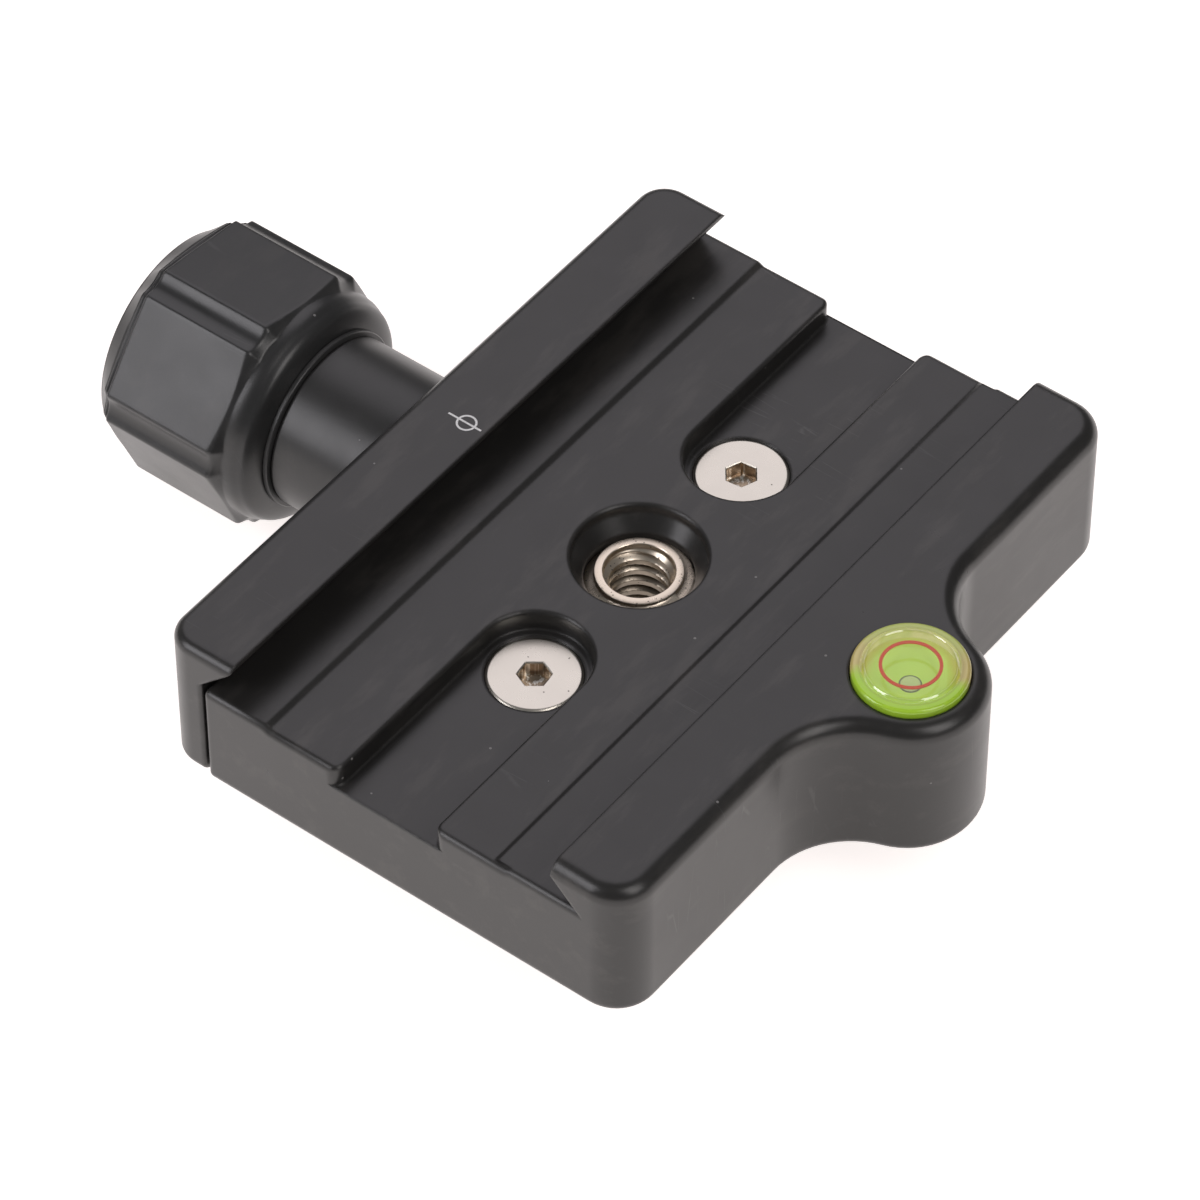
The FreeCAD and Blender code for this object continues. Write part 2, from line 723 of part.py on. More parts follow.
def make_jaw_spring(label, side):
    """Coil round a guide rod, at the length that it has when the jaw is fully closed."""
    wire = size("spring_wire_radius")
    room = (size("spring_pocket_depth") + size("seam_clearance") - size("closing_travel")
            - size("spring_end_clearance"))
    height = room - wire * 2
    body = new_body(label, x=size("spring_pocket_depth") - size("seam_reach"),
                    y=size("rod_spread") * side, z=screw_axis)
    sketch = new_sketch(body, "wire", "XZ_Plane")
    draw_circle(sketch, -wire, size("spring_mean_radius"), wire)
    coil = body.newObject("PartDesign::AdditiveHelix", f"{label}_coil")
    coil.Profile = sketch
    coil.ReferenceAxis = (sketch, ["H_Axis"])
    coil.Mode = "height-turns-angle"
    coil.setExpression("Height", height.text)
    coil.setExpression("Turns", size("spring_turns").text)
    coil.Reversed = True
    sketch.Visibility = False
    return body


# Knob: a six-sided grip with hollowed corners, a domed rim and a round collar
def make_knob_grip():
    body = new_body("knob_grip", x=-knob_face, z=screw_axis)
    length, collar = size("knob_length"), size("collar_width")
    grip = new_sketch(body, "grip", "YZ_Plane", lift=-length)
    draw_outline(grip, grip_outline())
    pad(body, grip, length - collar)
    soften(body, "ridges", lambda middle, ends: len(ends) == 2 and near(ends[0].y, ends[1].y)
           and near(ends[0].z, ends[1].z), size("knob_ridge_round"))
    turn_grip_ends(body)
    add_collar(body)
    bore_knob(body)
    return body


def grip_outline():
    """Six flats. Between two flats the corner is hollowed by an arc of the given depth."""
    flat, half = size("knob_across_flats") * HALF, size("knob_flat_half_width")
    sector = FULL_TURN / HEXAGON
    cut_back = flat * Size(sector * HALF).tangent() - half
    chord = cut_back * Size(sector).sine()
    depth = size("knob_scallop_depth")
    hollow = (chord * chord + depth * depth) / (depth * 2)
    corners = []
    for number in range(HEXAGON):
        angle = RIGHT_ANGLE + sector * number - size("knob_turn")
        across, up = angle.cosine(), angle.sine()
        corners.append((flat * across + half * up, flat * up - half * across))
        corners.append((flat * across - half * up, flat * up + half * across, hollow, False))
    return corners


def turn_grip_ends(body):
    """Turns the conical rim at the outer end and the conical shoulder beside the collar."""
    length, collar = size("knob_length"), size("collar_width")
    flat, clear = size("knob_across_flats") * HALF, size("knob_across_flats")
    corner = flat / Size(FULL_TURN / HEXAGON * HALF).cosine()
    end_radius = flat - size("knob_rim_drop")
    rim = new_sketch(body, "rim", "XZ_Plane")
    draw_outline(rim, [
        (-length, end_radius),
        (-length - past, end_radius),
        (-length - past, clear),
        (size("knob_rim_width") + size("knob_rim_step") - length, clear),
        (size("knob_rim_width") + size("knob_rim_step") - length, corner),
        (size("knob_rim_width") - length, flat - size("knob_rim_land")),
    ])
    turn_away(body, rim, "H_Axis")
    foot = flat - size("knob_shoulder_drop")
    shoulder = new_sketch(body, "shoulder", "XZ_Plane")
    draw_outline(shoulder, [
        (-collar, foot),
        (-collar - size("knob_shoulder_width"), corner),
        (-collar - size("knob_shoulder_width"), clear),
        (past, clear),
        (past, foot),
    ])
    turn_away(body, shoulder, "H_Axis")


def add_collar(body):
    width, edge = size("collar_width"), size("collar_round")
    radius = size("knob_across_flats") * HALF - size("collar_drop")
    sketch = new_sketch(body, "collar", "XZ_Plane")
    draw_outline(sketch, [
        (-width, ZERO),
        (ZERO, ZERO),
        (ZERO, radius - edge, edge, True),
        (-edge, radius),
        (-width, radius),
    ])
    turn(body, sketch, "H_Axis")


def bore_knob(body):
    """Bores the insert's seat, the stop's room and the cap's seat, from the collar outwards."""
    length, seat = size("knob_length"), size("knob_length") - size("cap_thickness")
    sketch = new_sketch(body, "bore", "XZ_Plane")
    draw_outline(sketch, [
        (past, ZERO),
        (past, size("insert_radius")),
        (-size("insert_length"), size("insert_radius")),
        (-size("insert_length"), size("knob_recess_radius")),
        (-seat, size("knob_recess_radius")),
        (-seat, size("cap_radius")),
        (-length - past, size("cap_radius")),
        (-length - past, ZERO),
    ])
    turn_away(body, sketch, "H_Axis")


def make_knob_insert():
    bore, bevel = size("stud_radius") + size("running_clearance"), size("insert_bevel")
    length, radius = size("insert_length"), size("insert_radius")
    return turned_along_x("knob_insert", -knob_face, [
        (ZERO, bore + bevel),
        (ZERO, radius),
        (-length, radius),
        (-length, bore + bevel),
        (bevel - length, bore),
        (-bevel, bore),
    ])


def make_knob_cap():
    radius, thickness = size("cap_radius"), size("cap_thickness")
    return turned_along_x("knob_cap", thickness - knob_face - size("knob_length"), [
        (ZERO, ZERO),
        (ZERO, radius),
        (-thickness, radius),
        (-thickness, ZERO),
    ])


# Pieces turned about an upright axis
def turned_upright(label, x, y, z, outline):
    """A piece turned about Z. The outline's corners are (radius, height above the piece's origin)."""
    body = new_body(label, x=x, y=y, z=z)
    sketch = new_sketch(body, "profile", "XZ_Plane")
    draw_outline(sketch, outline)
    turn(body, sketch, "V_Axis")
    return body


def make_thread_bush():
    """Reducing bush: the small tripod thread inside the large one. Its first turn runs out below the top."""
    bore, bevel, top = size("bush_bore_radius"), size("bush_bevel"), bush_top
    crest, root = size("centre_thread_radius"), size("bush_root_radius")
    lead = top - size("bush_lead")
    return turned_upright("thread_bush", ZERO, ZERO, ZERO, [
        (bore + bevel, size("bush_bottom")),
        (crest, size("bush_bottom")),
        (crest, lead),
        (root, lead + (crest - root) * HALF),
        (root, top),
        (bore + bevel, top),
        (bore, top - bevel),
        (bore, size("bush_bottom") + bevel),
    ])


def make_deck_screw(label, side):
    """Countersunk socket screw seated at the closed end of a groove."""
    head, shank, rim = size("screw_head_radius"), size("screw_radius"), size("screw_rim")
    bevel = size("screw_edge_bevel")
    top = head - shank + rim
    body = turned_upright(label, ZERO, size("screw_reach") * side, seat_foot, [
        (ZERO, top - size("screw_length")),
        (shank, top - size("screw_length")),
        (shank, ZERO),
        (head, head - shank),
        (head, top - bevel),
        (head - bevel, top),
        (ZERO, top),
    ])
    sketch = new_sketch(body, "socket", "XY_Plane", lift=top - size("hex_depth"))
    sector = FULL_TURN / HEXAGON
    corner = size("hex_across_flats") * HALF / Size(sector * HALF).cosine()
    corners = []
    for number in range(HEXAGON):
        angle = Size(sector * number)
        corners.append((corner * angle.cosine(), corner * angle.sine()))
    draw_outline(sketch, corners)
    pocket(body, sketch, past, upwards=True)
    return body


def make_vial_disc():
    return turned_upright("vial_disc", level_reach, ZERO, vial_foot, [
        (ZERO, ZERO),
        (size("vial_radius"), ZERO),
        (size("vial_radius"), size("vial_disc")),
        (ZERO, size("vial_disc")),
    ])


def dome_radius():
    """Radius of the level's domed top, from its width and its rise."""
    half, rise = size("vial_radius") - size("vial_bevel"), size("vial_dome")
    return (half * half + rise * rise) / (rise * 2)


def ring_height():
    """Height of the dome at the centring ring's outer edge, above the level's foot."""
    edge = size("ring_radius")
    return vial_top - edge * edge / (dome_radius() * 2)


def make_vial_body():
    """Clear cup of the level, open below, with a domed top and a turned seat for its ring."""
    outer, bevel, dome = size("vial_radius"), size("vial_bevel"), size("vial_dome")
    inner = outer - size("vial_wall")
    shoulder = vial_top - dome
    body = turned_upright("vial_body", level_reach, ZERO, vial_foot, [
        (inner, size("vial_disc")),
        (outer, size("vial_disc")),
        (outer, shoulder - bevel),
        (outer - bevel, shoulder, dome_radius(), True),
        (ZERO, vial_top),
        (ZERO, window_foot),
        (inner, window_foot),
    ])
    sketch = new_sketch(body, "ring_seat", "XZ_Plane")
    draw_outline(sketch, ring_section(past))
    turn_away(body, sketch, "V_Axis")
    return body


def ring_section(above):
    """The ring's section, carried on above its top where it is used as a cutter."""
    outer, inner = size("ring_radius"), size("ring_radius") - size("ring_width")
    foot = ring_height() - size("ring_thickness")
    return [(inner, foot), (outer, foot), (outer, ring_height() + above), (inner, ring_height() + above)]


def make_vial_ring():
    return turned_upright("vial_ring", level_reach, ZERO, vial_foot, ring_section(ZERO))


def make_vial_liquid():
    """Liquid that fills the cup, with the lens-shaped hollow of the bubble below the window."""
    inner = size("vial_radius") - size("vial_wall")
    body = turned_upright("vial_liquid", level_reach, ZERO, vial_foot, [
        (ZERO, size("vial_disc")),
        (inner, size("vial_disc")),
        (inner, window_foot),
        (ZERO, window_foot),
    ])
    radius, depth = size("bubble_radius"), size("bubble_depth")
    lens = (radius * radius + depth * depth) / (depth * 2)
    sketch = new_sketch(body, "bubble", "XZ_Plane", lift=size("bubble_drift_y"),
                        shift=size("bubble_drift_x"))
    draw_outline(sketch, [
        (ZERO, window_foot - depth, lens, True),
        (radius, window_foot),
        (radius, window_foot + past),
        (ZERO, window_foot + past),
    ])
    turn_away(body, sketch, "V_Axis")
    return body


make_clamp_base()
make_thread_bush()
make_clamp_stud()
make_stud_pin()
make_stop_washer()
make_stop_screw()
for end, side in (("front", -1.0), ("rear", 1.0)):
    make_deck_screw(f"deck_screw_{end}", side)
    make_guide_rod(f"guide_rod_{end}", side)
    make_jaw_spring(f"jaw_spring_{end}", side)
make_vial_disc()
make_vial_body()
make_vial_liquid()
make_vial_ring()
make_moving_jaw()
make_neck_barrel()
make_thrust_washer()
make_knob_grip()
make_knob_insert()
make_knob_cap()
doc.recompute()


# Checks on the document, and the STEP files
ADDING = ("PartDesign::Pad", "PartDesign::Revolution", "PartDesign::AdditiveHelix")
REMOVING = ("PartDesign::Pocket", "PartDesign::Groove", "PartDesign::Mirrored")
for item in doc.Objects:
    if "Invalid" in item.State or "Error" in item.State:
        raise RuntimeError(f"{item.Label} failed: {item.State}")
    base = getattr(item, "BaseFeature", None)
    if base is None or item.TypeId not in ADDING + REMOVING:
        continue
    change = item.Shape.Volume - base.Shape.Volume
    if change * (1 if item.TypeId in ADDING else -1) <= 0:
        raise RuntimeError(f"{item.Label} changed the volume by {change}")
for piece in pieces:
    if piece.Shape.isNull() or not piece.Shape.isValid() or not piece.Shape.Solids:
        raise RuntimeError(f"{piece.Label} has no valid solid")
os.makedirs(PART_FOLDER, exist_ok=True)
for piece in pieces:
    piece.Shape.exportStep(f"{PART_FOLDER}/{piece.Label}.step")
    box = piece.Shape.BoundBox
    print(f"{piece.Label:18} {len(piece.Shape.Solids)} solid, {piece.Shape.Volume:9.2f} cubic mm, "
          f"X {box.XMin:.2f} to {box.XMax:.2f}, Y {box.YMin:.2f} to {box.YMax:.2f}, "
          f"Z {box.ZMin:.2f} to {box.ZMax:.2f}")
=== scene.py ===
import math

import bpy
import numpy as np
from mathutils import Matrix, Vector


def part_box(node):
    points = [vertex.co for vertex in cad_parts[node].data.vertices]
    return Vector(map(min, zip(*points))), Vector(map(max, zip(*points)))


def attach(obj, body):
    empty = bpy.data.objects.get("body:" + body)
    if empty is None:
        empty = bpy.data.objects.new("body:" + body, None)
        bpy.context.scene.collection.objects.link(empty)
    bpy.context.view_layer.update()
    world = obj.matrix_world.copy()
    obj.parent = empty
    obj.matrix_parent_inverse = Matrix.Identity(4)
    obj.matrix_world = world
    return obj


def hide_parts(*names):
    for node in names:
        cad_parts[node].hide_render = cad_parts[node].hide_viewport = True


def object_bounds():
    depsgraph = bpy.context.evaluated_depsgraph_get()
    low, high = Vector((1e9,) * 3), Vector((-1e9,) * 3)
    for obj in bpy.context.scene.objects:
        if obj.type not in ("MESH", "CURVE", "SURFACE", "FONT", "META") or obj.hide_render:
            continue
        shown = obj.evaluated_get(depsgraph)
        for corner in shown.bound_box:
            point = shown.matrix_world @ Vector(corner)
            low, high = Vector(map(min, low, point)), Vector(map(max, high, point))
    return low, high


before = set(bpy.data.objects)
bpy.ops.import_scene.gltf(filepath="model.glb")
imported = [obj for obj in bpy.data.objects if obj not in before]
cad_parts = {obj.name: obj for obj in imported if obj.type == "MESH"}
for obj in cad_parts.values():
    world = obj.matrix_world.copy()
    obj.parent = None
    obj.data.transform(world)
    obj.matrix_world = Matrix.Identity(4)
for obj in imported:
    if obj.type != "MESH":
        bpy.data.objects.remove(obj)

cad_low, cad_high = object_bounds()


# Clamp body: one block of aluminium, milled with its fixed jaw, ear, pads, grooves and well,
# then bead-blasted and anodised black. Its skin is the CAD solid's own, joined and shaded smooth.
JOIN = 1e-7
CREASE = math.radians(24)


def joined_skin(name, points, faces):
    """A mesh from points and three-cornered faces. Points that agree to a ten-thousandth of a
    millimetre become one, and faces left without an area are dropped. Faces that meet at more
    than the crease angle keep a sharp edge between them, and all others are shaded smooth."""
    _, first, shared = np.unique(
        np.round(points / JOIN).astype(np.int64), axis=0, return_index=True, return_inverse=True)
    faces = shared.reshape(-1)[faces]
    a, b, c = faces.T
    faces = faces[(a != b) & (b != c) & (c != a)]
    skin = bpy.data.meshes.new(name)
    skin.from_pydata(points[first].tolist(), [], faces.tolist())
    skin.shade_smooth()
    skin.set_sharp_from_angle(angle=CREASE)
    return skin


def set_in_place(name, skin, node, body, finish):
    """The piece that shows this skin in place of a CAD node. Its flat faces keep flat shading
    beside its rounds, because each corner's normal leans towards the larger face."""
    piece = bpy.data.objects.new(name, skin)
    bpy.context.scene.collection.objects.link(piece)
    skin.materials.append(finish)
    level = piece.modifiers.new("flat faces stay flat", "WEIGHTED_NORMAL")
    level.keep_sharp = True
    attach(piece, body)
    if node:
        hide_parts(node)
    return piece


def machined(name, node, body, finish):
    """A joined, smooth copy of a CAD node's skin."""
    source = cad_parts[node].data
    points = np.empty(len(source.vertices) * 3, np.float32)
    source.vertices.foreach_get("co", points)
    corners = np.empty(len(source.loops), np.int32)
    source.loops.foreach_get("vertex_index", corners)
    skin = joined_skin(name, points.reshape(-1, 3).astype(float), corners.reshape(-1, 3))
    return set_in_place(name, skin, node, body, finish)


class Wire:
    """One output of a shader node. Sums, differences, products and quotients of wires and plain
    numbers add Math nodes, and add() hangs any other node on the tree."""

    def __init__(self, tree, socket=None):
        self.tree = tree
        self.socket = socket

    def add(self, kind, settings, inputs, output=0):
        made = self.tree.nodes.new("ShaderNode" + kind)
        for name, value in settings.items():
            if name == "stops":
                ramp = made.color_ramp
                for place, _ in value[1:-1]:
                    ramp.elements.new(place)
                ramp.elements[0].position = value[0][0]
                ramp.elements[-1].position = value[-1][0]
                for stop, (_, colour) in zip(ramp.elements, value):
                    stop.color = colour
            else:
                setattr(made, name, value)
        for name, value in inputs.items():
            if isinstance(value, Wire):
                self.tree.links.new(value.socket, made.inputs[name])
            else:
                made.inputs[name].default_value = value
        return Wire(self.tree, made.outputs[output] if made.outputs else None)

    def beside(self, output):
        return Wire(self.tree, self.socket.node.outputs[output])

    def math(self, operation, first, second):
        return self.add("Math", {"operation": operation}, {0: first, 1: second})

    def __add__(self, other):
        return self.math("ADD", self, other)

    def __sub__(self, other):
        return self.math("SUBTRACT", self, other)

    def __mul__(self, other):
        return self.math("MULTIPLY", self, other)

    def __truediv__(self, other):
        return self.math("DIVIDE", self, other)

    def __rsub__(self, other):
        return self.math("SUBTRACT", other, self)

    __radd__ = __add__
    __rmul__ = __mul__

    def below(self, limit):
        return self.math("LESS_THAN", self, limit)

    def above(self, limit):
        return self.math("GREATER_THAN", self, limit)

    def larger(self, other):
        return self.math("MAXIMUM", self, other)

    def power(self, exponent):
        return self.math("POWER", self, exponent)

    def sine(self):
        return self.math("SINE", self, 0.0)

    def rising(self, low, high):
        """0 below low, 1 above high, and a smooth step between."""
        return self.add(
            "MapRange", {"interpolation_type": "SMOOTHSTEP"},
            {"Value": self, "From Min": low, "From Max": high})

    def between(self, off, on):
        """The colour off where this wire is 0 and the colour on where it is 1."""
        return self.add("Mix", {"data_type": "RGBA"}, {0: self, 6: off, 7: on}, 2)


def bare_finish(name):
    """A material with nothing in it, and a wire to hang its nodes on."""
    finish = bpy.data.materials.new(name)
    finish.use_nodes = True
    finish.node_tree.nodes.clear()
    return finish, Wire(finish.node_tree)


def grey(level, warmth=0.0):
    """A grey as a colour, a little redder and less blue where the warmth is above 0."""
    return (level * (1 + warmth), level, level * (1 - warmth), 1.0)


RUBBED = grey(0.060, 0.08)
SCRATCHED = grey(0.15, 0.02)
DUST = grey(0.34, 0.02)
SCRATCH_LIE = (0.0, 0.0, 0.5)


def anodised(name, tone, warmth, roughness, blast_depth, edge, scuffs):
    """Bead-blasted and black anodised aluminium. The tone drifts slowly, the blasting is a fine
    noise in tone and height, and corners are broken by the edge radius. There is a little dust.
    Hairline scratches show where a slow noise is high, and faint rubbed smears lie along Y."""
    finish, start = bare_finish(name)
    place = start.add("TexCoord", {}, {}, "Object")
    drift = start.add("TexNoise", {}, {"Vector": place, "Scale": 55.0, "Detail": 2.0})
    blast = start.add(
        "TexNoise", {}, {"Vector": place, "Scale": 5200.0, "Detail": 3.0, "Roughness": 0.65})
    cloud = start.add(
        "TexNoise", {}, {"Vector": place, "Scale": 260.0, "Detail": 4.0, "Roughness": 0.6})
    cells = start.add("TexVoronoi", {}, {"Vector": place, "Scale": 420.0})
    lot = start.add("SeparateColor", {}, {"Color": cells.beside("Color")})
    dust = cells.below(0.05) * lot.above(0.86)
    grain = start.add(
        "Mapping", {}, {"Vector": place, "Rotation": SCRATCH_LIE, "Scale": (30.0, 620.0, 60.0)})
    lines = start.add(
        "TexVoronoi", {"feature": "DISTANCE_TO_EDGE"}, {"Vector": grain, "Scale": 1.0})
    where_scratched = drift.rising(0.56, 0.66) * cloud.rising(0.5, 0.62) * scuffs
    scratch = (1 - lines.rising(0.004, 0.020)) * where_scratched
    worn = start.add("Mapping", {}, {
        "Vector": place, "Location": (0.3, 0.1, 0.0), "Scale": (330.0, 90.0, 330.0)})
    smear = start.add(
        "TexNoise", {}, {"Vector": worn, "Scale": 1.0, "Detail": 5.0, "Roughness": 0.62})
    smeared = smear.rising(0.50, 0.70) * scuffs
    shade = (drift - 0.5) * 0.5 + (cloud - 0.5) * 0.35 + (blast - 0.5) * 0.5 + 0.5
    metal = shade.between(grey(tone * 0.72, warmth), grey(tone * 1.28, warmth))
    rubbed = (smeared * 0.8).between(metal, RUBBED)
    marked = (scratch * 0.4).between(rubbed, SCRATCHED)
    dusty = (dust * 0.65).between(marked, DUST)
    broken = start.add("Bevel", {"samples": 6}, {"Radius": edge})
    height = start.add(
        "Bump", {}, {"Distance": blast_depth, "Height": blast, "Normal": broken})
    uneven = (cloud - 0.5) * 0.12 + (drift - 0.5) * 0.08
    skin = start.add("BsdfPrincipled", {}, {
        "Base Color": dusty,
        "Roughness": uneven + roughness + dust * 0.3 - scratch * 0.08,
        "IOR": 1.55, "Normal": height})
    start.add("OutputMaterial", {}, {"Surface": skin})
    return finish


body_finish = anodised(
    "black anodised body", tone=0.0235, warmth=0.04, roughness=0.31, blast_depth=2.0e-6,
    edge=0.00040, scuffs=0.6)
clamp_body = machined("clamp_body", "clamp_base", "base", body_finish)

# The shallow steps of the pads are a little narrower in the photograph, and the one beside the
# fixed jaw lies nearer to the thread. Each row is a step's corner in the solid and where it goes.
DECK_LOW = 0.0098
SAME_PLACE = 1e-6
PAD_STEPS = ((0.0122, 0.01093), (0.0128, 0.01143), (-0.0122, -0.01230), (-0.0128, -0.01280))
spots = np.empty(len(clamp_body.data.vertices) * 3, np.float32)
clamp_body.data.vertices.foreach_get("co", spots)
spots = spots.reshape(-1, 3)
for solid_x, shown_x in PAD_STEPS:
    on_corner = (np.abs(spots[:, 0] - solid_x) < SAME_PLACE) & (spots[:, 2] > DECK_LOW)
    spots[on_corner, 0] = shown_x
clamp_body.data.vertices.foreach_set("co", spots.reshape(-1))


# Moving jaw: a milled bar of the same aluminium with the second 45 degree lip. It is blasted and
# anodised together with the body, and a white index mark is printed on its top.
machined("jaw_bar", "moving_jaw", "jaw", body_finish)

MARK_CENTRE = (-0.01847, 0.00006)
MARK_OUTER = 0.00093
MARK_LINE = 0.00019
MARK_REACH = (-0.02042, -0.01692)
INK = 0.000012
LINE_INK = 1.4 * INK
MARK_COLUMNS = 72
ink_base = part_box("moving_jaw")[1].z


def ring_strip(centre, inner, outer, low, high, columns):
    """A flat ring of square section: the four corners of the section, carried round a circle,
    with each corner's radius and height kept and the angle growing evenly."""
    angle = np.linspace(0.0, 2 * np.pi, columns, endpoint=False)
    radius = np.array([inner, outer, outer, inner])[:, None]
    height = np.array([low, low, high, high])[:, None]
    return np.stack([
        centre[0] + radius * np.cos(angle),
        centre[1] + radius * np.sin(angle),
        height + 0 * angle], axis=-1)


def wrapped_faces(rows, columns, rows_close, first=0):
    """Two three-cornered faces for each cell of a grid whose columns close on themselves, and
    whose rows do too where rows_close is set."""
    row, column = np.meshgrid(
        np.arange(rows if rows_close else rows - 1), np.arange(columns), indexing="ij")
    next_row = (row + 1) % rows
    next_column = (column + 1) % columns
    a = row * columns + column
    b = row * columns + next_column
    c = next_row * columns + next_column
    d = next_row * columns + column
    return first + np.concatenate([
        np.stack([a, b, c], -1).reshape(-1, 3), np.stack([a, c, d], -1).reshape(-1, 3)])


mark_ring = ring_strip(
    MARK_CENTRE, MARK_OUTER - MARK_LINE, MARK_OUTER, ink_base, ink_base + INK, MARK_COLUMNS)
line_along = np.array([MARK_REACH[0], *np.linspace(*MARK_REACH, 12), MARK_REACH[1]])[:, None]
line_side = np.array([-0.5, 0.5, 0.5, -0.5]) * MARK_LINE
line_up = np.array([0.0, 0.0, 1.0, 1.0]) * LINE_INK
line_points = np.stack([
    line_along + 0 * line_side, MARK_CENTRE[1] + line_side + 0 * line_along,
    ink_base + line_up + 0 * line_along], -1)
line_points[[0, -1]] = line_points[[0, -1]].mean(1, keepdims=True)
mark_skin = joined_skin(
    "index_mark",
    np.concatenate([mark_ring.reshape(-1, 3), line_points.reshape(-1, 3)]),
    np.concatenate([
        wrapped_faces(4, MARK_COLUMNS, True),
        wrapped_faces(len(line_points), 4, False, mark_ring.size // 3)[:, ::-1]]))


def printed(name, colour, thin, roughness):
    """Printing ink: the colour, with a fine mottle where it lies thinner on the blasted skin."""
    finish, start = bare_finish(name)
    place = start.add("TexCoord", {}, {}, "Object")
    mottle = start.add("TexNoise", {}, {"Vector": place, "Scale": 9000.0, "Detail": 2.0})
    skin = start.add("BsdfPrincipled", {}, {
        "Base Color": mottle.rising(0.42, 0.6).between(thin, colour),
        "Roughness": mottle * 0.2 + roughness})
    start.add("OutputMaterial", {}, {"Surface": skin})
    return finish


white_ink = printed("white printing ink", grey(0.95), thin=grey(0.78), roughness=0.45)
set_in_place("index_mark", mark_skin, None, "jaw", white_ink)


# Neck barrel: a turned aluminium barrel that holds the knob off the jaw, seated by its spigot.
# A thin plastic washer runs between it and the knob's collar.
def turned(profile, centre, across, upward, axis, columns):
    """A profile of (radius, height) points carried once round an axis: each point lies at the
    centre, plus its radius times the cosine and sine of the angle along the two directions
    across the axis, plus its height along the axis. The profile closes on itself."""
    radius, height = np.array(profile, float).T
    angle = np.linspace(0.0, 2 * np.pi, columns, endpoint=False)
    return (
        np.array(centre)
        + (radius[:, None] * np.cos(angle))[..., None] * np.array(across)
        + (radius[:, None] * np.sin(angle))[..., None] * np.array(upward)
        + (height[:, None] + 0 * angle)[..., None] * np.array(axis))


def turned_skin(name, profile, centre, across, upward, axis, columns):
    """The closed skin of a turned piece."""
    points = turned(profile, centre, across, upward, axis, columns)
    return joined_skin(name, points.reshape(-1, 3), wrapped_faces(len(profile), columns, True))


SCREW_AXIS = (-1.0, 0.0, 0.0)
SCREW_ACROSS = (0.0, 0.0, 1.0)
SCREW_UPWARD = (0.0, 1.0, 0.0)
SCREW_HEIGHT = 0.0057
BARREL_BORE = 0.0033
SPIGOT_RADIUS = 0.0055
SPIGOT_LENGTH = 0.0015
BARREL_BEVEL = 0.0003
barrel_low, barrel_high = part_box("neck_barrel")
barrel_radius = barrel_high.y
barrel_reach = barrel_high.x - barrel_low.x
barrel_profile = [
    (BARREL_BORE, 0.0), (SPIGOT_RADIUS - BARREL_BEVEL, 0.0), (SPIGOT_RADIUS, BARREL_BEVEL),
    (SPIGOT_RADIUS, SPIGOT_LENGTH), (barrel_radius, SPIGOT_LENGTH),
    *[(barrel_radius, height) for height in
      np.linspace(SPIGOT_LENGTH + 0.0005, barrel_reach - BARREL_BEVEL, 8)],
    (barrel_radius - 0.0001, barrel_reach - 0.00008), (barrel_radius - 0.00022, barrel_reach),
    (BARREL_BORE + BARREL_BEVEL, barrel_reach), (BARREL_BORE, barrel_reach - BARREL_BEVEL)]
barrel_skin = turned_skin(
    "neck_barrel_skin", barrel_profile, (barrel_high.x, 0.0, SCREW_HEIGHT),
    SCREW_ACROSS, SCREW_UPWARD, SCREW_AXIS, 160)
barrel_finish = anodised(
    "black anodised turned barrel", tone=0.028, warmth=0.01, roughness=0.36, blast_depth=1.6e-6,
    edge=0.00015, scuffs=0.2)
set_in_place("barrel_sleeve", barrel_skin, "neck_barrel", "jaw", barrel_finish)

WASHER_BORE = 0.0034
WASHER_BEVEL = 0.00008
washer_low, washer_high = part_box("thrust_washer")
washer_radius = washer_high.y
washer_thick = washer_high.x - washer_low.x
washer_skin = turned_skin(
    "thrust_washer_skin",
    [(WASHER_BORE, 0.0), (washer_radius - WASHER_BEVEL, 0.0), (washer_radius, WASHER_BEVEL),
     (washer_radius, washer_thick - WASHER_BEVEL), (washer_radius - WASHER_BEVEL, washer_thick),
     (WASHER_BORE, washer_thick)],
    (washer_high.x, 0.0, SCREW_HEIGHT), SCREW_ACROSS, SCREW_UPWARD, SCREW_AXIS, 144)


def moulded(name, tone, roughness, bump):
    """Moulded black plastic: an even tone with a fine grain and a slow change of gloss."""
    finish, start = bare_finish(name)
    place = start.add("TexCoord", {}, {}, "Object")
    grain = start.add("TexNoise", {}, {"Vector": place, "Scale": 2600.0, "Detail": 3.0})
    slow = start.add("TexNoise", {}, {"Vector": place, "Scale": 120.0, "Detail": 2.0})
    height = start.add("Bump", {}, {"Distance": bump, "Height": grain})
    skin = start.add("BsdfPrincipled", {}, {
        "Base Color": grain.between(grey(tone * 0.8), grey(tone * 1.2)),
        "Roughness": (slow - 0.5) * 0.2 + roughness,
        "Normal": height})
    start.add("OutputMaterial", {}, {"Surface": skin})
    return finish


washer_finish = moulded("slippery black washer", tone=0.05, roughness=0.36, bump=1e-6)
set_in_place("washer_disc", washer_skin, "thrust_washer", "knob", washer_finish)


# Knob: an aluminium grip with six flats and six hollowed corners, cut off square beside a round
# collar and with a bead and a cone at its outer end. It is anodised, and a plain cap closes it.
FLAT_REACH = 11.05
FLAT_HALF = 4.85
HOLLOW_DEPTH = 0.4
RIDGE_SOFTNESS = 0.09
KNOB_TURN = math.radians(8.0)
CONE_START, CONE_END = -49.7, -51.0
sextant = np.radians(np.concatenate([
    np.linspace(-30, -20, 22, endpoint=False), np.linspace(-20, 20, 12, endpoint=False),
    np.linspace(20, 30, 22, endpoint=False)]))
knob_angle = np.concatenate([sextant + k * np.pi / 3 for k in range(6)])


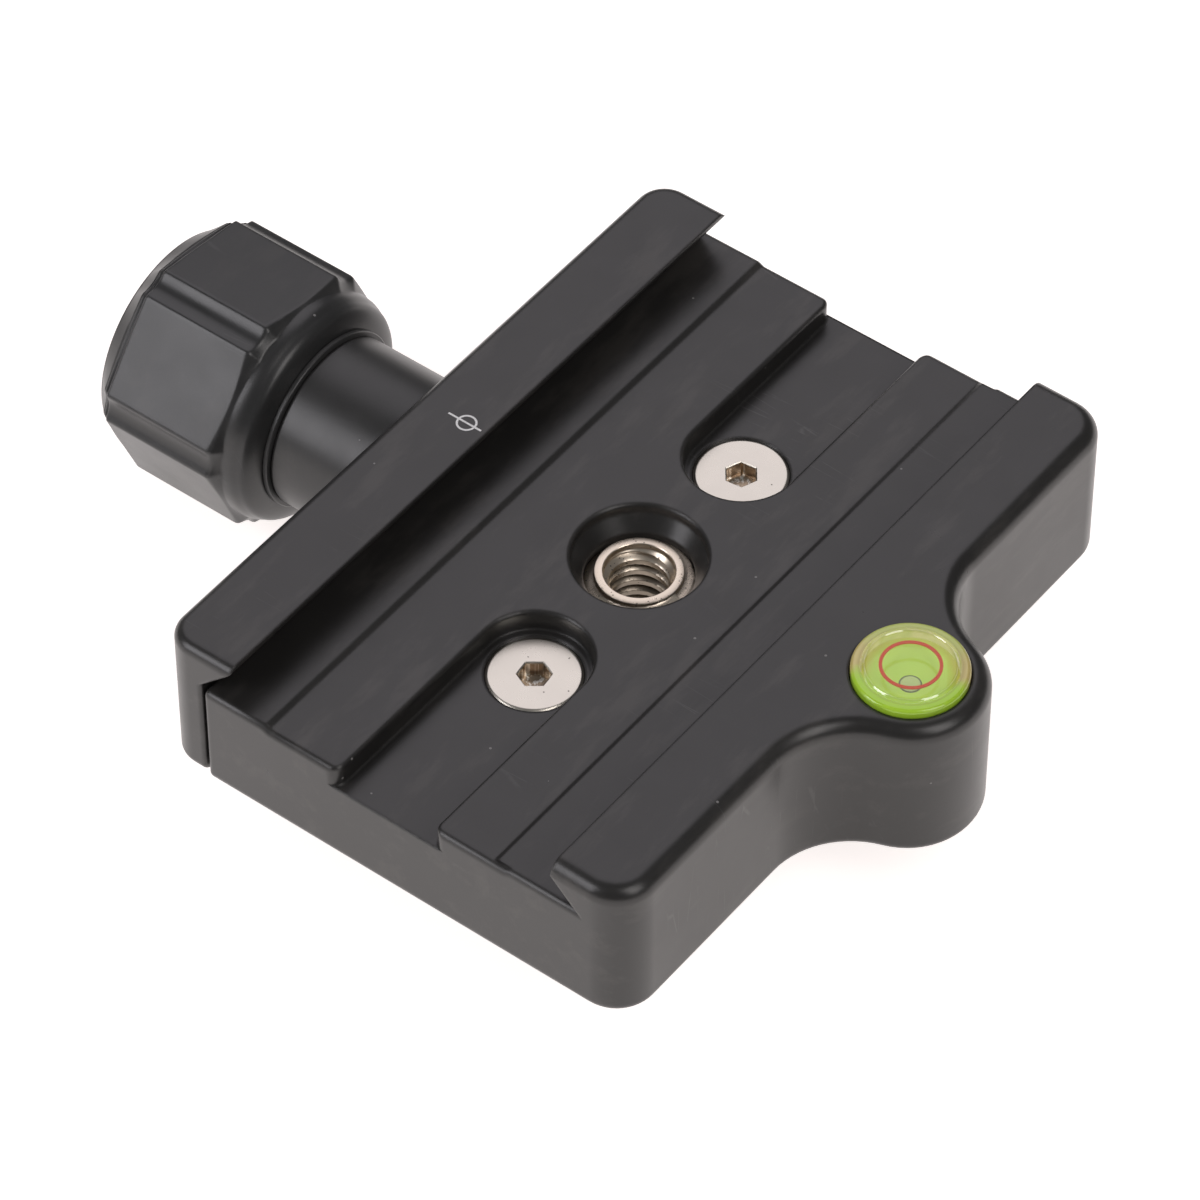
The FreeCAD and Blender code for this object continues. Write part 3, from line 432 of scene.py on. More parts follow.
def grip_outline(angle):
    """Radius of the grip's section over the angle, in millimetres. A flat is its reach divided by
    the cosine of the angle. A hollow is the chord between two flats' ends, less its depth times
    one minus the square of the place along it. The smaller of the two counts, eased where they
    cross, which rounds the ridges."""
    local = (angle + np.pi / 6) % (np.pi / 3) - np.pi / 6
    flat = FLAT_REACH / np.cos(local)
    ridge = math.atan(FLAT_HALF / FLAT_REACH)
    corner = math.hypot(FLAT_REACH, FLAT_HALF)
    from_middle = np.pi / 6 - np.abs(local)
    half = np.pi / 6 - ridge
    chord = corner * math.cos(half) / np.cos(np.minimum(from_middle, 2 * half))
    hollow = chord - HOLLOW_DEPTH * (1 - np.minimum(from_middle / half, 3.0) ** 2)
    return -RIDGE_SOFTNESS * np.log(
        np.exp(-flat / RIDGE_SOFTNESS) + np.exp(-hollow / RIDGE_SOFTNESS))


# Each row is a place along the axis, how far the ridges run past it, the share of the grip's
# outline in it, and the radius of the circle that makes up the rest, in millimetres. The rows go
# over the collar, its fold into the flats' square ends, the flats, the bead, the cone and back
# through the bore.
knob_rows = (
    [(-34.30, 0, 0, 5.02), (-34.30, 0, 0, 8.45), (-34.36, 0, 0, 8.85), (-34.48, 0, 0, 9.28),
     (-34.64, 0, 0, 9.70), (-34.82, 0, 0, 10.05), (-35.00, 0, 0, 10.28), (-35.20, 0, 0, 10.42),
     (-35.42, 0, 0, 10.49), (-35.65, 0, 0, 10.60), (-35.90, 0, 0, 10.72), (-36.20, 0, 0, 10.82),
     (-36.55, 0.05, 0, 10.87), (-36.85, 0.12, 0, 10.90), (-36.98, 0.20, 0.03, 10.90),
     (-37.06, 0.15, 0.15, 10.90), (-37.28, -0.05, 0.72, 10.90), (-37.36, -0.16, 0.90, 10.90),
     (-37.46, -0.26, 0.975, 10.90), (-37.60, -0.34, 1.0, 10.90), (-37.80, -0.38, 1.0, 10.90)]
    + [(x, 0, 1.0, 10.90) for x in np.linspace(-38.4, -48.7, 14)]
    + [(-48.86, 0, 1.0, 10.10), (-48.95, 0, 0.985, 10.10), (-49.02, 0, 0.94, 10.10),
       (-49.10, 0, 0.84, 10.10), (-49.18, 0, 0.76, 10.10), (-49.27, 0, 0.755, 10.10),
       (-49.36, 0, 0.79, 10.10), (-49.46, 0, 0.78, 10.10), (-49.56, 0, 0.72, 10.10)]
    + [(x, 0, 0.70 * (CONE_END - x) / (CONE_END - CONE_START), 10.12) for x in
       np.linspace(CONE_START, CONE_END, 10)]
    + [(-51.09, 0, 0, 10.08), (-51.15, 0, 0, 9.98), (-51.15, 0, 0, 7.62), (-49.95, 0, 0, 7.62),
       (-49.95, 0, 0, 6.50), (-41.30, 0, 0, 6.50), (-41.30, 0, 0, 5.02)])
along, run_on, share, circle = np.array(knob_rows).T[..., None]
outline = grip_outline(knob_angle)[None, :]
ridge_part = np.clip((outline - FLAT_REACH) / (outline.max() - FLAT_REACH), 0.0, 1.0)
knob_r = (circle + share * (outline - circle)) / 1000
knob_x = (along + run_on * ridge_part) / 1000
knob_points = np.stack([
    knob_x, knob_r * np.sin(knob_angle + KNOB_TURN),
    SCREW_HEIGHT + knob_r * np.cos(knob_angle + KNOB_TURN)], -1)
knob_skin = joined_skin(
    "knob_skin", knob_points.reshape(-1, 3), wrapped_faces(len(knob_rows), len(knob_angle), True))
knob_finish = anodised(
    "black anodised knob", tone=0.030, warmth=-0.01, roughness=0.32, blast_depth=1.6e-6,
    edge=0.00012, scuffs=0.3)
set_in_place("knob_body", knob_skin, "knob_grip", "knob", knob_finish)

CAP_GROOVE = 0.00012
CAP_DISH = 0.00022
DISH_RADIUS = 0.0064
cap_low, cap_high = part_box("knob_cap")
cap_radius = cap_high.y
cap_thick = cap_high.x - cap_low.x
cap_profile = (
    [(0.0, 0.0), (cap_radius - 0.0001, 0.0), (cap_radius, 0.0001),
     (cap_radius, cap_thick - 0.00025), (cap_radius - 0.00010, cap_thick - 0.00008),
     (cap_radius - 0.00025, cap_thick)]
    + [(cap_radius - 0.0006 - 0.0004 * step, cap_thick - CAP_GROOVE * math.sin(math.pi * step))
       for step in np.linspace(0.0, 1.0, 10)]
    + [(radius, cap_thick - CAP_DISH * (1 - (radius / DISH_RADIUS) ** 2)) for radius in
       np.linspace(0.0062, 0.0, 14)])
cap_skin = turned_skin(
    "knob_cap_skin", cap_profile, (cap_high.x, 0.0, SCREW_HEIGHT),
    SCREW_ACROSS, SCREW_UPWARD, SCREW_AXIS, 120)
cap_finish = moulded("moulded black cap", tone=0.03, roughness=0.5, bump=2.5e-6)
set_in_place("cap_disc", cap_skin, "knob_cap", "knob", cap_finish)


# Reducing bush: turned from nickel-plated steel, with the large tripod thread outside and the
# small one inside. Both threads are true helices here. It is screwed into the body.
bush_low, bush_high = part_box("thread_bush")
BUSH_TOP = bush_high.z
BUSH_BOTTOM = bush_low.z
BUSH_NECK = 0.00385
BUSH_OUTER = 0.00474
BUSH_PITCH = 0.0015875
BORE_ROOT = 0.003170
BORE_CREST = 0.00256
BORE_PITCH = 0.00127
BUSH_COLUMNS = 120


def thread_form(turns, root, crest):
    """Height of a 60 degree thread, from 0 at the root to 1 at the crest, over the position in
    turns: a triangle wave, cut off flat below the root's height and above the crest's, and eased
    at its corners."""
    wave = 1 - 2 * np.abs(turns - np.floor(turns) - 0.5)
    flank = np.clip((wave - root) / (crest - root), 0.0, 1.0)
    return flank * flank * (3 - 2 * flank) * 0.35 + flank * 0.65


def eased(value, low, high):
    """0 below low, 1 above high, and a smooth step between."""
    step = np.clip((value - low) / (high - low), 0.0, 1.0)
    return step * step * (3 - 2 * step)


# The outer thread runs out below the neck over a part of a turn, and the inner one in a
# countersink below the face. Each has its own start round the bush.
bush_angle = np.linspace(0.0, 2 * np.pi, BUSH_COLUMNS, endpoint=False)[None, :]
bush_turn = bush_angle / (2 * np.pi)
outer_z = np.linspace(BUSH_BOTTOM + 0.0002, BUSH_TOP - 0.00018, 150)[:, None]
outer_fade = 1 - eased(outer_z - bush_turn * 0.00045, BUSH_TOP - 0.00082, BUSH_TOP - 0.00050)
outer_form = thread_form(outer_z / BUSH_PITCH - bush_turn + 0.42, root=0.22, crest=0.78)
outer_r = BUSH_NECK + (BUSH_OUTER - BUSH_NECK) * outer_form * outer_fade
inner_z = np.linspace(BUSH_TOP - 0.00030, BUSH_BOTTOM + 0.0003, 190)[:, None]
inner_fade = 1 - eased(inner_z, BUSH_TOP - 0.0011, BUSH_TOP - 0.00045)
inner_form = thread_form(inner_z / BORE_PITCH - bush_turn + 0.30, root=0.05, crest=0.60)
inner_r = (
    BORE_ROOT - 0.00010 * (1 - inner_fade) - (BORE_ROOT - BORE_CREST) * inner_form * inner_fade)
level_row = 0 * bush_angle
bush_r = np.concatenate([
    BORE_ROOT + 0.00002 + level_row, BUSH_NECK - 0.0002 + level_row, outer_r,
    BUSH_NECK - 0.00003 + level_row, BUSH_NECK - 0.00012 + level_row,
    BORE_ROOT - 0.00002 + level_row, BORE_ROOT - 0.00008 + level_row, inner_r])
bush_z = np.concatenate([
    BUSH_BOTTOM + level_row, BUSH_BOTTOM + level_row, outer_z + level_row,
    BUSH_TOP - 0.00004 + level_row, BUSH_TOP + level_row,
    BUSH_TOP + level_row, BUSH_TOP - 0.00006 + level_row, inner_z + level_row])
bush_points = np.stack([bush_r * np.cos(bush_angle), bush_r * np.sin(bush_angle), bush_z], -1)
bush_skin = joined_skin(
    "thread_bush_skin", bush_points.reshape(-1, 3), wrapped_faces(len(bush_r), BUSH_COLUMNS, True))


# How far down the painted shade in the bush's bore grows darker.
BORE_SHADE_REACH = 0.0045
# Colours of painted shade and painted glints for the walls of a socket.
SOCKET_SHADE = (0.46, 0.37, 0.28, 1.0)
SOCKET_GLINT = (0.97, 0.93, 0.86, 1.0)


def turned_metal(
        name, colour, deep, roughness, rings, ring_depth, centre, specks, socket_below, shade_below):
    """Turned bright metal: fine rings round its axis from the lathe tool, a slow change of tone,
    and a few dark specks from plating or wear. Below one given height it is a socket's wall:
    painted shade with a few painted bright upright glints. Below the other, the small thread's
    roots get painted shade, and all of its turns get painted shade that darkens downwards."""
    finish, start = bare_finish(name)
    place = start.add("TexCoord", {}, {}, "Object")
    own = start.add("Mapping", {}, {"Vector": place, "Location": centre})
    drift = start.add("TexNoise", {}, {"Vector": place, "Scale": 420.0, "Detail": 3.0})
    fine = start.add("TexNoise", {}, {"Vector": place, "Scale": 7000.0, "Detail": 2.0})
    lathe = start.add(
        "TexWave", {"wave_type": "RINGS", "rings_direction": "Z", "wave_profile": "SIN"},
        {"Vector": own, "Scale": rings, "Distortion": 0.6, "Detail": 2.0, "Detail Scale": 3.0},
        "Fac")
    cells = start.add("TexVoronoi", {}, {"Vector": place, "Scale": 3200.0})
    lot = start.add("SeparateColor", {}, {"Color": cells.beside("Color")})
    pits = cells.below(0.24) * lot.above(1 - specks)
    tone = (drift - 0.5) * 0.5 + (fine - 0.5) * 0.3 + 0.5
    metal = tone.between(deep, colour)
    pitted = (pits * 0.8).between(metal, grey(0.07, 0.2))
    upright = start.add("Mapping", {}, {"Vector": place, "Scale": (3200.0, 3200.0, 60.0)})
    streaks = start.add("TexNoise", {}, {"Vector": upright, "Scale": 1.0, "Detail": 2.0})
    height_above = start.add("SeparateXYZ", {}, {"Vector": place}, "Z")
    # Painted shade on the socket wall, with painted bright upright glints in it.
    wall = streaks.rising(0.52, 0.60).between(SOCKET_SHADE, SOCKET_GLINT)
    walled = height_above.below(socket_below).between(pitted, wall)
    flattened = start.add("Mapping", {}, {"Vector": own, "Scale": (1.0, 1.0, 0.0)})
    radius = start.add("VectorMath", {"operation": "LENGTH"}, {0: flattened}, "Value")
    # Painted shade: the roots of the small thread and its lower turns are darkened in the base
    # colour, more so further down.
    in_bore = 1 - radius.rising(BORE_ROOT, BORE_ROOT + 0.0001)
    depth = (1 - height_above.rising(shade_below - BORE_SHADE_REACH, shade_below)) * in_bore
    roots = radius.rising(BORE_CREST + 0.0002, BORE_ROOT - 0.0001) * depth.rising(0.0, 0.12)
    roots_shaded = (roots * 0.75).between(walled, grey(0.05, 0.2))
    sunk = (depth * 0.75).between(roots_shaded, grey(0.10, 0.2))
    broken = start.add("Bevel", {"samples": 4}, {"Radius": 0.00005})
    height = start.add(
        "Bump", {}, {"Distance": ring_depth, "Height": lathe * 0.7 + fine * 0.3, "Normal": broken})
    skin = start.add("BsdfPrincipled", {}, {
        "Base Color": sunk, "Metallic": 1.0 - pits * 0.6,
        "Roughness": (drift - 0.5) * 0.1 + (fine - 0.5) * 0.08 + roughness,
        "Normal": height})
    start.add("OutputMaterial", {}, {"Surface": skin})
    return finish


NOWHERE = BUSH_BOTTOM - 1.0
bush_finish = turned_metal(
    "nickel plated bush", (0.88, 0.79, 0.67, 1.0), deep=(0.64, 0.55, 0.44, 1.0), roughness=0.29,
    rings=9000.0, ring_depth=1.2e-6, centre=(0.0, 0.0, 0.0), specks=0.25,
    socket_below=NOWHERE, shade_below=BUSH_TOP - 0.0008)
set_in_place("reducing_bush", bush_skin, "thread_bush", "base", bush_finish)


# Deck screws: two countersunk stainless screws with hexagon sockets, faced on a lathe. They sit
# flush in the closed ends of the stop grooves.
SCREW_COLUMNS = 144
SCREW_HEAD = 0.00414
SCREW_SHANK = 0.0020
SOCKET_FLAT = 0.00125
SOCKET_DEPTH = 0.0015
SOCKET_DRILL = 0.00108
DRILL_CONE = 0.0005
HEAD_EDGE = 0.00037


def hexagon(apothem, angle, turn):
    """Radius of a hexagon over the angle: its distance to a flat, divided by the cosine of the
    angle from that flat's middle. Its corners lie at the turn and every 60 degrees from it."""
    sixth = np.pi / 3
    return apothem / np.cos((angle - turn) % sixth - sixth / 2)


def deck_screw(name, node, socket_turn, finish):
    """A screw as rows of radius and height round its axis: shank, cone, rim, bevel, face, the
    mouth and wall of the socket as a hexagon, and the drill's cone at its bottom."""
    low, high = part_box(node)
    middle = (low + high) / 2
    angle = np.linspace(0.0, 2 * np.pi, SCREW_COLUMNS, endpoint=False) + socket_turn
    six = hexagon(SOCKET_FLAT, angle, socket_turn)
    plain = np.ones_like(angle)
    top = high.z
    rows = [
        (0 * plain, low.z), ((SCREW_SHANK - 0.0003) * plain, low.z),
        (SCREW_SHANK * plain, low.z + 0.0003),
        (SCREW_SHANK * plain, top - HEAD_EDGE - (SCREW_HEAD - SCREW_SHANK)),
        (SCREW_HEAD * plain, top - HEAD_EDGE), (SCREW_HEAD * plain, top - 0.00015),
        ((SCREW_HEAD - 0.00005) * plain, top - 0.00011),
        ((SCREW_HEAD - 0.00018) * plain, top - 0.00002), ((SCREW_HEAD - 0.00024) * plain, top)]
    rows += [(radius * plain, top) for radius in (0.0038, 0.0034, 0.0028, 0.0022, 0.0018)]
    rows += [
        (six + 0.00011, top), (six + 0.00002, top - 0.00008),
        *[(six, top - depth) for depth in np.linspace(0.00020, SOCKET_DEPTH, 7)],
        (np.minimum(six * 0.97, SOCKET_DRILL + 0.00008), top - SOCKET_DEPTH),
        (SOCKET_DRILL * plain, top - SOCKET_DEPTH - 0.00003),
        (0 * plain, top - SOCKET_DEPTH - DRILL_CONE)]
    radius = np.array([row[0] for row in rows])
    height = np.array([row[1] for row in rows])[:, None] * plain
    points = np.stack([
        middle.x + radius * np.cos(angle), middle.y + radius * np.sin(angle), height], -1)
    skin = joined_skin(name, points.reshape(-1, 3), wrapped_faces(len(rows), SCREW_COLUMNS, False))
    set_in_place(name, skin, node, "base", finish)


for name, node, centre_y, socket_turn in (
        ("deck_screw_near", "deck_screw_front", -0.0144, math.radians(37.5)),
        ("deck_screw_far", "deck_screw_rear", 0.0144, math.radians(7.5))):
    screw_finish = turned_metal(
        "stainless face of " + name, (0.69, 0.655, 0.585, 1.0), deep=(0.66, 0.620, 0.550, 1.0),
        roughness=0.29, rings=4200.0, ring_depth=5e-7, centre=(0.0, -centre_y, 0.0), specks=0.02,
        socket_below=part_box(node)[1].z - 0.0002, shade_below=NOWHERE)
    deck_screw(name, node, socket_turn, screw_finish)


# Bull's-eye level: a clear acrylic case with a domed window, a lime liquid with its bubble, a
# lime disc underneath and a red centring ring. It is glued into its pocket in the ear.
vial_low, vial_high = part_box("vial_body")
LEVEL_X, LEVEL_Y = (vial_low.x + vial_high.x) / 2, (vial_low.y + vial_high.y) / 2
LEVEL_RADIUS = (vial_high.x - vial_low.x) / 2
LEVEL_TOP = vial_high.z
LEVEL_FOOT = vial_low.z
LIQUID_RADIUS = 0.0041
LIQUID_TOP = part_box("vial_liquid")[1].z
LEVEL_COLUMNS = 128
RING_COLUMNS = 120
LEVEL_AXES = ((1.0, 0.0, 0.0), (0.0, 1.0, 0.0), (0.0, 0.0, 1.0))
WINDOW_FALL = 0.00035
CASE_BEVEL = 0.00035
BEAD_RISE = 0.00015
BEAD_RADIUS = 0.00385
BEAD_WIDTH = 0.00012
LIQUID_BEVEL = 0.00031
BUBBLE = (LEVEL_X + 0.0007, LEVEL_Y - 0.0010)
BUBBLE_RADIUS = 0.00098
RING_WIDTH = 0.00029


def window_rise(radius):
    """Height of the domed window over the radius: highest on the axis, falling with the square
    of the radius to nothing at the shoulder."""
    return LEVEL_TOP - WINDOW_FALL * (radius / (LEVEL_RADIUS - 0.0003)) ** 2


bevel_steps = np.linspace(0.0, np.pi / 2, 7)
shoulder = LEVEL_RADIUS - CASE_BEVEL
case_profile = (
    [(LIQUID_RADIUS, LEVEL_FOOT), (LEVEL_RADIUS, LEVEL_FOOT)]
    + [(shoulder + CASE_BEVEL * math.cos(step),
        window_rise(shoulder) - CASE_BEVEL + CASE_BEVEL * math.sin(step)) for step in bevel_steps]
    + [(radius, window_rise(radius)
        + BEAD_RISE * math.exp(-((radius - BEAD_RADIUS) / BEAD_WIDTH) ** 2))
       for radius in (*np.linspace(shoulder - 0.0001, 0.0035, 24), *np.linspace(0.0034, 0.0, 16))]
    + [(0.0, LIQUID_TOP + 0.00002), (LIQUID_RADIUS - 0.0003, LIQUID_TOP + 0.00002),
       (LIQUID_RADIUS - 0.00009, LIQUID_TOP - 0.00007), (LIQUID_RADIUS, LIQUID_TOP - 0.0003)])
case_skin = turned_skin(
    "vial_case_skin", case_profile, (LEVEL_X, LEVEL_Y, 0.0), *LEVEL_AXES, LEVEL_COLUMNS)


def level_radius(start, centre):
    """The object coordinates, the same in millimetres from an upright axis through the centre,
    and the distance from that axis in millimetres."""
    place = start.add("TexCoord", {}, {}, "Object")
    own = start.add("Mapping", {}, {
        "Vector": place, "Location": (-centre[0] * 1000, -centre[1] * 1000, 0.0),
        "Scale": (1000.0, 1000.0, 0.0)})
    return place, own, start.add("VectorMath", {"operation": "LENGTH"}, {0: own}, "Value")


def nearness(start, own, radius):
    """1 on the level's side between +X and -Y, falling to -1 on the side away from it."""
    apart = start.add("SeparateXYZ", {}, {"Vector": own})
    return (apart.beside("X") * 0.45 - apart.beside("Y") * 0.89) / (radius + 0.01)


case_finish, start = bare_finish("clear level case with painted rim light")
place, own, radius = level_radius(start, (LEVEL_X, LEVEL_Y))
towards_near = nearness(start, own, radius)
wavy = start.add("TexNoise", {}, {"Vector": place, "Scale": 700.0, "Detail": 3.0})
# Painted light: the rim's colour changes round the level the way light through the clear case
# would show it. It is bright lime on the near side, tan at the sides and greyish green on the far
# side.
near_part = (towards_near + (wavy - 0.5) * 0.35).rising(0.05, 0.45)
far_part = (wavy * 0.3 - towards_near).rising(0.35, 0.95)
arcs = (radius * 14.0).sine() * 0.5 + 0.5
tan_side = (arcs * 0.5 + wavy * 0.4).between((0.62, 0.50, 0.17, 1.0), (0.80, 0.68, 0.26, 1.0))
lime_side = wavy.between((0.46, 0.78, 0.045, 1.0), (0.54, 0.86, 0.065, 1.0))
far_side = wavy.between((0.54, 0.62, 0.14, 1.0), (0.68, 0.78, 0.20, 1.0))
painted_rim_light = near_part.between(far_part.between(tan_side, far_side), lime_side)
line_in = radius.rising(4.15, 4.25) * (1 - radius.rising(4.28, 4.41))
rim_shaded = (line_in * 0.30).between(painted_rim_light, (0.30, 0.27, 0.06, 1.0))
# The rim's inner faces glow with painted light, though they are no lamp.
inside = start.add("NewGeometry", {}, {}, "Backfacing")
painted_rim_glow = wavy.rising(0.38, 0.62).between(
    (0.44, 0.42, 0.26, 1.0), (0.64, 0.50, 0.42, 1.0))
rim = start.add("BsdfPrincipled", {}, {
    "Base Color": rim_shaded, "Roughness": wavy * 0.1 + 0.10, "Coat Weight": 0.4,
    "Coat Roughness": 0.04,
    "Emission Color": inside.between(grey(0.0), painted_rim_glow), "Emission Strength": 0.40})
clear = start.add("BsdfTransparent", {}, {"Color": (0.985, 0.995, 0.96, 1.0)})
gloss = start.add("BsdfGlossy", {}, {"Color": grey(1.0), "Roughness": 0.05})
glance = start.add("LayerWeight", {}, {"Blend": 0.5}, "Facing")
bead = radius.rising(3.66, 3.80) * (1 - radius.rising(3.90, 4.04))
mirrored = glance.power(5.0) * 0.96 + 0.04 + bead * 0.12
window = start.add("MixShader", {}, {0: mirrored, 1: clear, 2: gloss})
case_surface = start.add("MixShader", {}, {0: radius.rising(4.10, 4.24), 1: window, 2: rim})
start.add("OutputMaterial", {}, {"Surface": case_surface})
set_in_place("vial_case", case_skin, "vial_body", "base", case_finish)

liquid_profile = (
    [(0.0, LEVEL_FOOT + 0.00002), (LIQUID_RADIUS - 0.00004, LEVEL_FOOT + 0.00002)]
    + [(LIQUID_RADIUS - 0.00035 + LIQUID_BEVEL * math.cos(step),
        LIQUID_TOP - 0.00036 + LIQUID_BEVEL * math.sin(step)) for step in bevel_steps]
    + [(radius, LIQUID_TOP - 0.00005) for radius in np.linspace(LIQUID_RADIUS - 0.0005, 0.0, 12)])
liquid_skin = turned_skin(
    "vial_liquid_skin", liquid_profile, (LEVEL_X, LEVEL_Y, 0.0), *LEVEL_AXES, LEVEL_COLUMNS)
liquid_finish, start = bare_finish("lime level liquid")
place, own, radius = level_radius(start, (LEVEL_X, LEVEL_Y))
swirl = start.add("TexNoise", {}, {"Vector": place, "Scale": 520.0, "Detail": 2.0})
towards_near = nearness(start, own, radius)
# Painted shade: the liquid turns darker and tanner towards its rim, except on the near side. The
# swirl is a random change of tone.
rim_shade_and_swirl = radius.rising(2.4, 4.0) * (1 - towards_near.rising(0.0, 0.7)) * 0.7 + swirl * 0.4
liquid_stops = [
    (0.0, (0.34, 0.50, 0.075, 1.0)), (0.45, (0.36, 0.49, 0.075, 1.0)),
    (1.0, (0.40, 0.39, 0.085, 1.0))]
liquid_colour = start.add("ValToRGB", {"stops": liquid_stops}, {"Fac": rim_shade_and_swirl})
# The liquid glows in its own colour. This is painted light, though it is no lamp.
liquid_surface = start.add("BsdfPrincipled", {}, {
    "Base Color": liquid_colour, "Roughness": swirl * 0.1 + 0.14, "Specular IOR Level": 0.0,
    "Emission Color": liquid_colour, "Emission Strength": 0.55})
start.add("OutputMaterial", {}, {"Surface": liquid_surface})
set_in_place("vial_fluid", liquid_skin, "vial_liquid", "base", liquid_finish)

BUBBLE_MIDDLE = LIQUID_TOP - 0.00006
BUBBLE_BELOW, BUBBLE_ABOVE = 0.00005, 0.00007
bubble_profile = (
    [(0.0, LIQUID_TOP - 0.00012)]
    + [(BUBBLE_RADIUS * math.sin(step), BUBBLE_MIDDLE - BUBBLE_BELOW * math.cos(step))
       for step in np.linspace(0.35, np.pi / 2, 8)]
    + [(BUBBLE_RADIUS * math.cos(step), BUBBLE_MIDDLE + BUBBLE_ABOVE * math.sin(step))
       for step in np.linspace(0.2, np.pi / 2, 10)])
bubble_skin = turned_skin("vial_bubble_skin", bubble_profile, (*BUBBLE, 0.0), *LEVEL_AXES, 72)
bubble_finish, start = bare_finish("air bubble in the liquid")
_, _, radius = level_radius(start, BUBBLE)
# Painted light and shade: the bubble's pale middle and its dark outline stand for the light
# passing through it.
painted_bubble_edge_shade = radius.rising(0.76, 0.90)
bubble_surface = start.add("BsdfPrincipled", {}, {
    "Base Color": painted_bubble_edge_shade.between((0.70, 0.85, 0.36, 1.0), (0.13, 0.18, 0.05, 1.0)),
    "Roughness": painted_bubble_edge_shade * 0.2 + 0.15, "Specular IOR Level": 0.1})
start.add("OutputMaterial", {}, {"Surface": bubble_surface})
set_in_place("vial_bubble", bubble_skin, None, "base", bubble_finish)

ring_low, ring_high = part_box("vial_ring")
ring_outer = (ring_high.x - ring_low.x) / 2
ring_points = ring_strip(
    (LEVEL_X, LEVEL_Y), ring_outer - RING_WIDTH, ring_outer, ring_low.z, ring_high.z,
    RING_COLUMNS)
ring_skin = joined_skin(
    "vial_ring_skin", ring_points.reshape(-1, 3), wrapped_faces(4, RING_COLUMNS, True))
red_ink = printed(
    "red centring ring", (0.84, 0.075, 0.004, 1.0), thin=(0.76, 0.065, 0.004, 1.0), roughness=0.3)
set_in_place("vial_red_ring", ring_skin, "vial_ring", "base", red_ink)


def finish_node(node, finish):
    """The finish on a CAD node that is shown with its own mesh."""
    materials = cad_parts[node].data.materials
    materials.clear()
    materials.append(finish)


disc_finish = printed(
    "lime printed disc", (0.40, 0.62, 0.03, 1.0), thin=(0.34, 0.55, 0.025, 1.0), roughness=0.4)
finish_node("vial_disc", disc_finish)


# Working parts inside: ground steel stud, pin, stop washer, stop screw and guide rods, springs
# of drawn wire, and the knob's turned brass thread insert. They show only as the jaw opens.
def ground_metal(name, colour, roughness, along):
    """Ground or drawn metal: fine lines along one direction and a slow change of tone."""
    finish, start = bare_finish(name)
    place = start.add("TexCoord", {}, {}, "Object")
    lines = start.add("Mapping", {}, {"Vector": place, "Scale": along})
    streaks = start.add("TexNoise", {}, {"Vector": lines, "Scale": 1.0, "Detail": 3.0})
    slow = start.add("TexNoise", {}, {"Vector": place, "Scale": 300.0, "Detail": 2.0})
    height = start.add("Bump", {}, {"Distance": 6e-7, "Height": streaks})
    dark = (colour[0] * 0.8, colour[1] * 0.79, colour[2] * 0.77, 1.0)
    skin = start.add("BsdfPrincipled", {}, {
        "Base Color": (streaks * 0.6 + slow * 0.4).between(dark, colour),
        "Metallic": 1.0, "Roughness": (streaks - 0.5) * 0.14 + roughness, "Normal": height})
    start.add("OutputMaterial", {}, {"Surface": skin})
    return finish


steel_finish = ground_metal(
    "ground steel", (0.62, 0.60, 0.57, 1.0), roughness=0.28, along=(400.0, 9000.0, 9000.0))
wire_finish = ground_metal(
    "drawn spring wire", (0.50, 0.50, 0.50, 1.0), roughness=0.34, along=(5000.0, 5000.0, 5000.0))
brass_finish = ground_metal(
    "turned brass", (0.80, 0.60, 0.28, 1.0), roughness=0.26, along=(9000.0, 600.0, 600.0))
for node in (
        "clamp_stud", "stud_pin", "stop_washer", "stop_screw", "guide_rod_front",
        "guide_rod_rear"):
    finish_node(node, steel_finish)
for node in ("jaw_spring_front", "jaw_spring_rear"):
    finish_node(node, wire_finish)
finish_node("knob_insert", brass_finish)


# Studio: the clamp lies on a wide white table under a large soft bank behind and above it, with
# one smaller bank in front on the left and one on the right. The table glows to white for the
# camera, for reflections and through clear pieces.
TABLE_HEIGHT = cad_low.z - 0.00002
TABLE_HALF = 20.0
TABLE_GLOW = (0.86, 0.807, 0.788, 1.0)
AIR_LIGHT = 0.12
table_skin = bpy.data.meshes.new("white_table")
table_skin.from_pydata(
    [(-TABLE_HALF, -TABLE_HALF, TABLE_HEIGHT), (TABLE_HALF, -TABLE_HALF, TABLE_HEIGHT),
     (TABLE_HALF, TABLE_HALF, TABLE_HEIGHT), (-TABLE_HALF, TABLE_HALF, TABLE_HEIGHT)],
    [], [(0, 1, 2, 3)])
table = bpy.data.objects.new("white_table", table_skin)
bpy.context.scene.collection.objects.link(table)
table_finish, start = bare_finish("white table")
path = start.add("LightPath", {}, {}, "Is Camera Ray")
seen = path.larger(path.beside("Is Glossy Ray")).larger(path.beside("Is Transmission Ray"))
table_surface = start.add("BsdfPrincipled", {}, {
    "Base Color": grey(0.85, 0.02), "Roughness": 0.9, "Specular IOR Level": 0.0,
    "Emission Color": seen.between(grey(0.0), TABLE_GLOW), "Emission Strength": 1.0})
start.add("OutputMaterial", {}, {"Surface": table_surface})
table_skin.materials.append(table_finish)

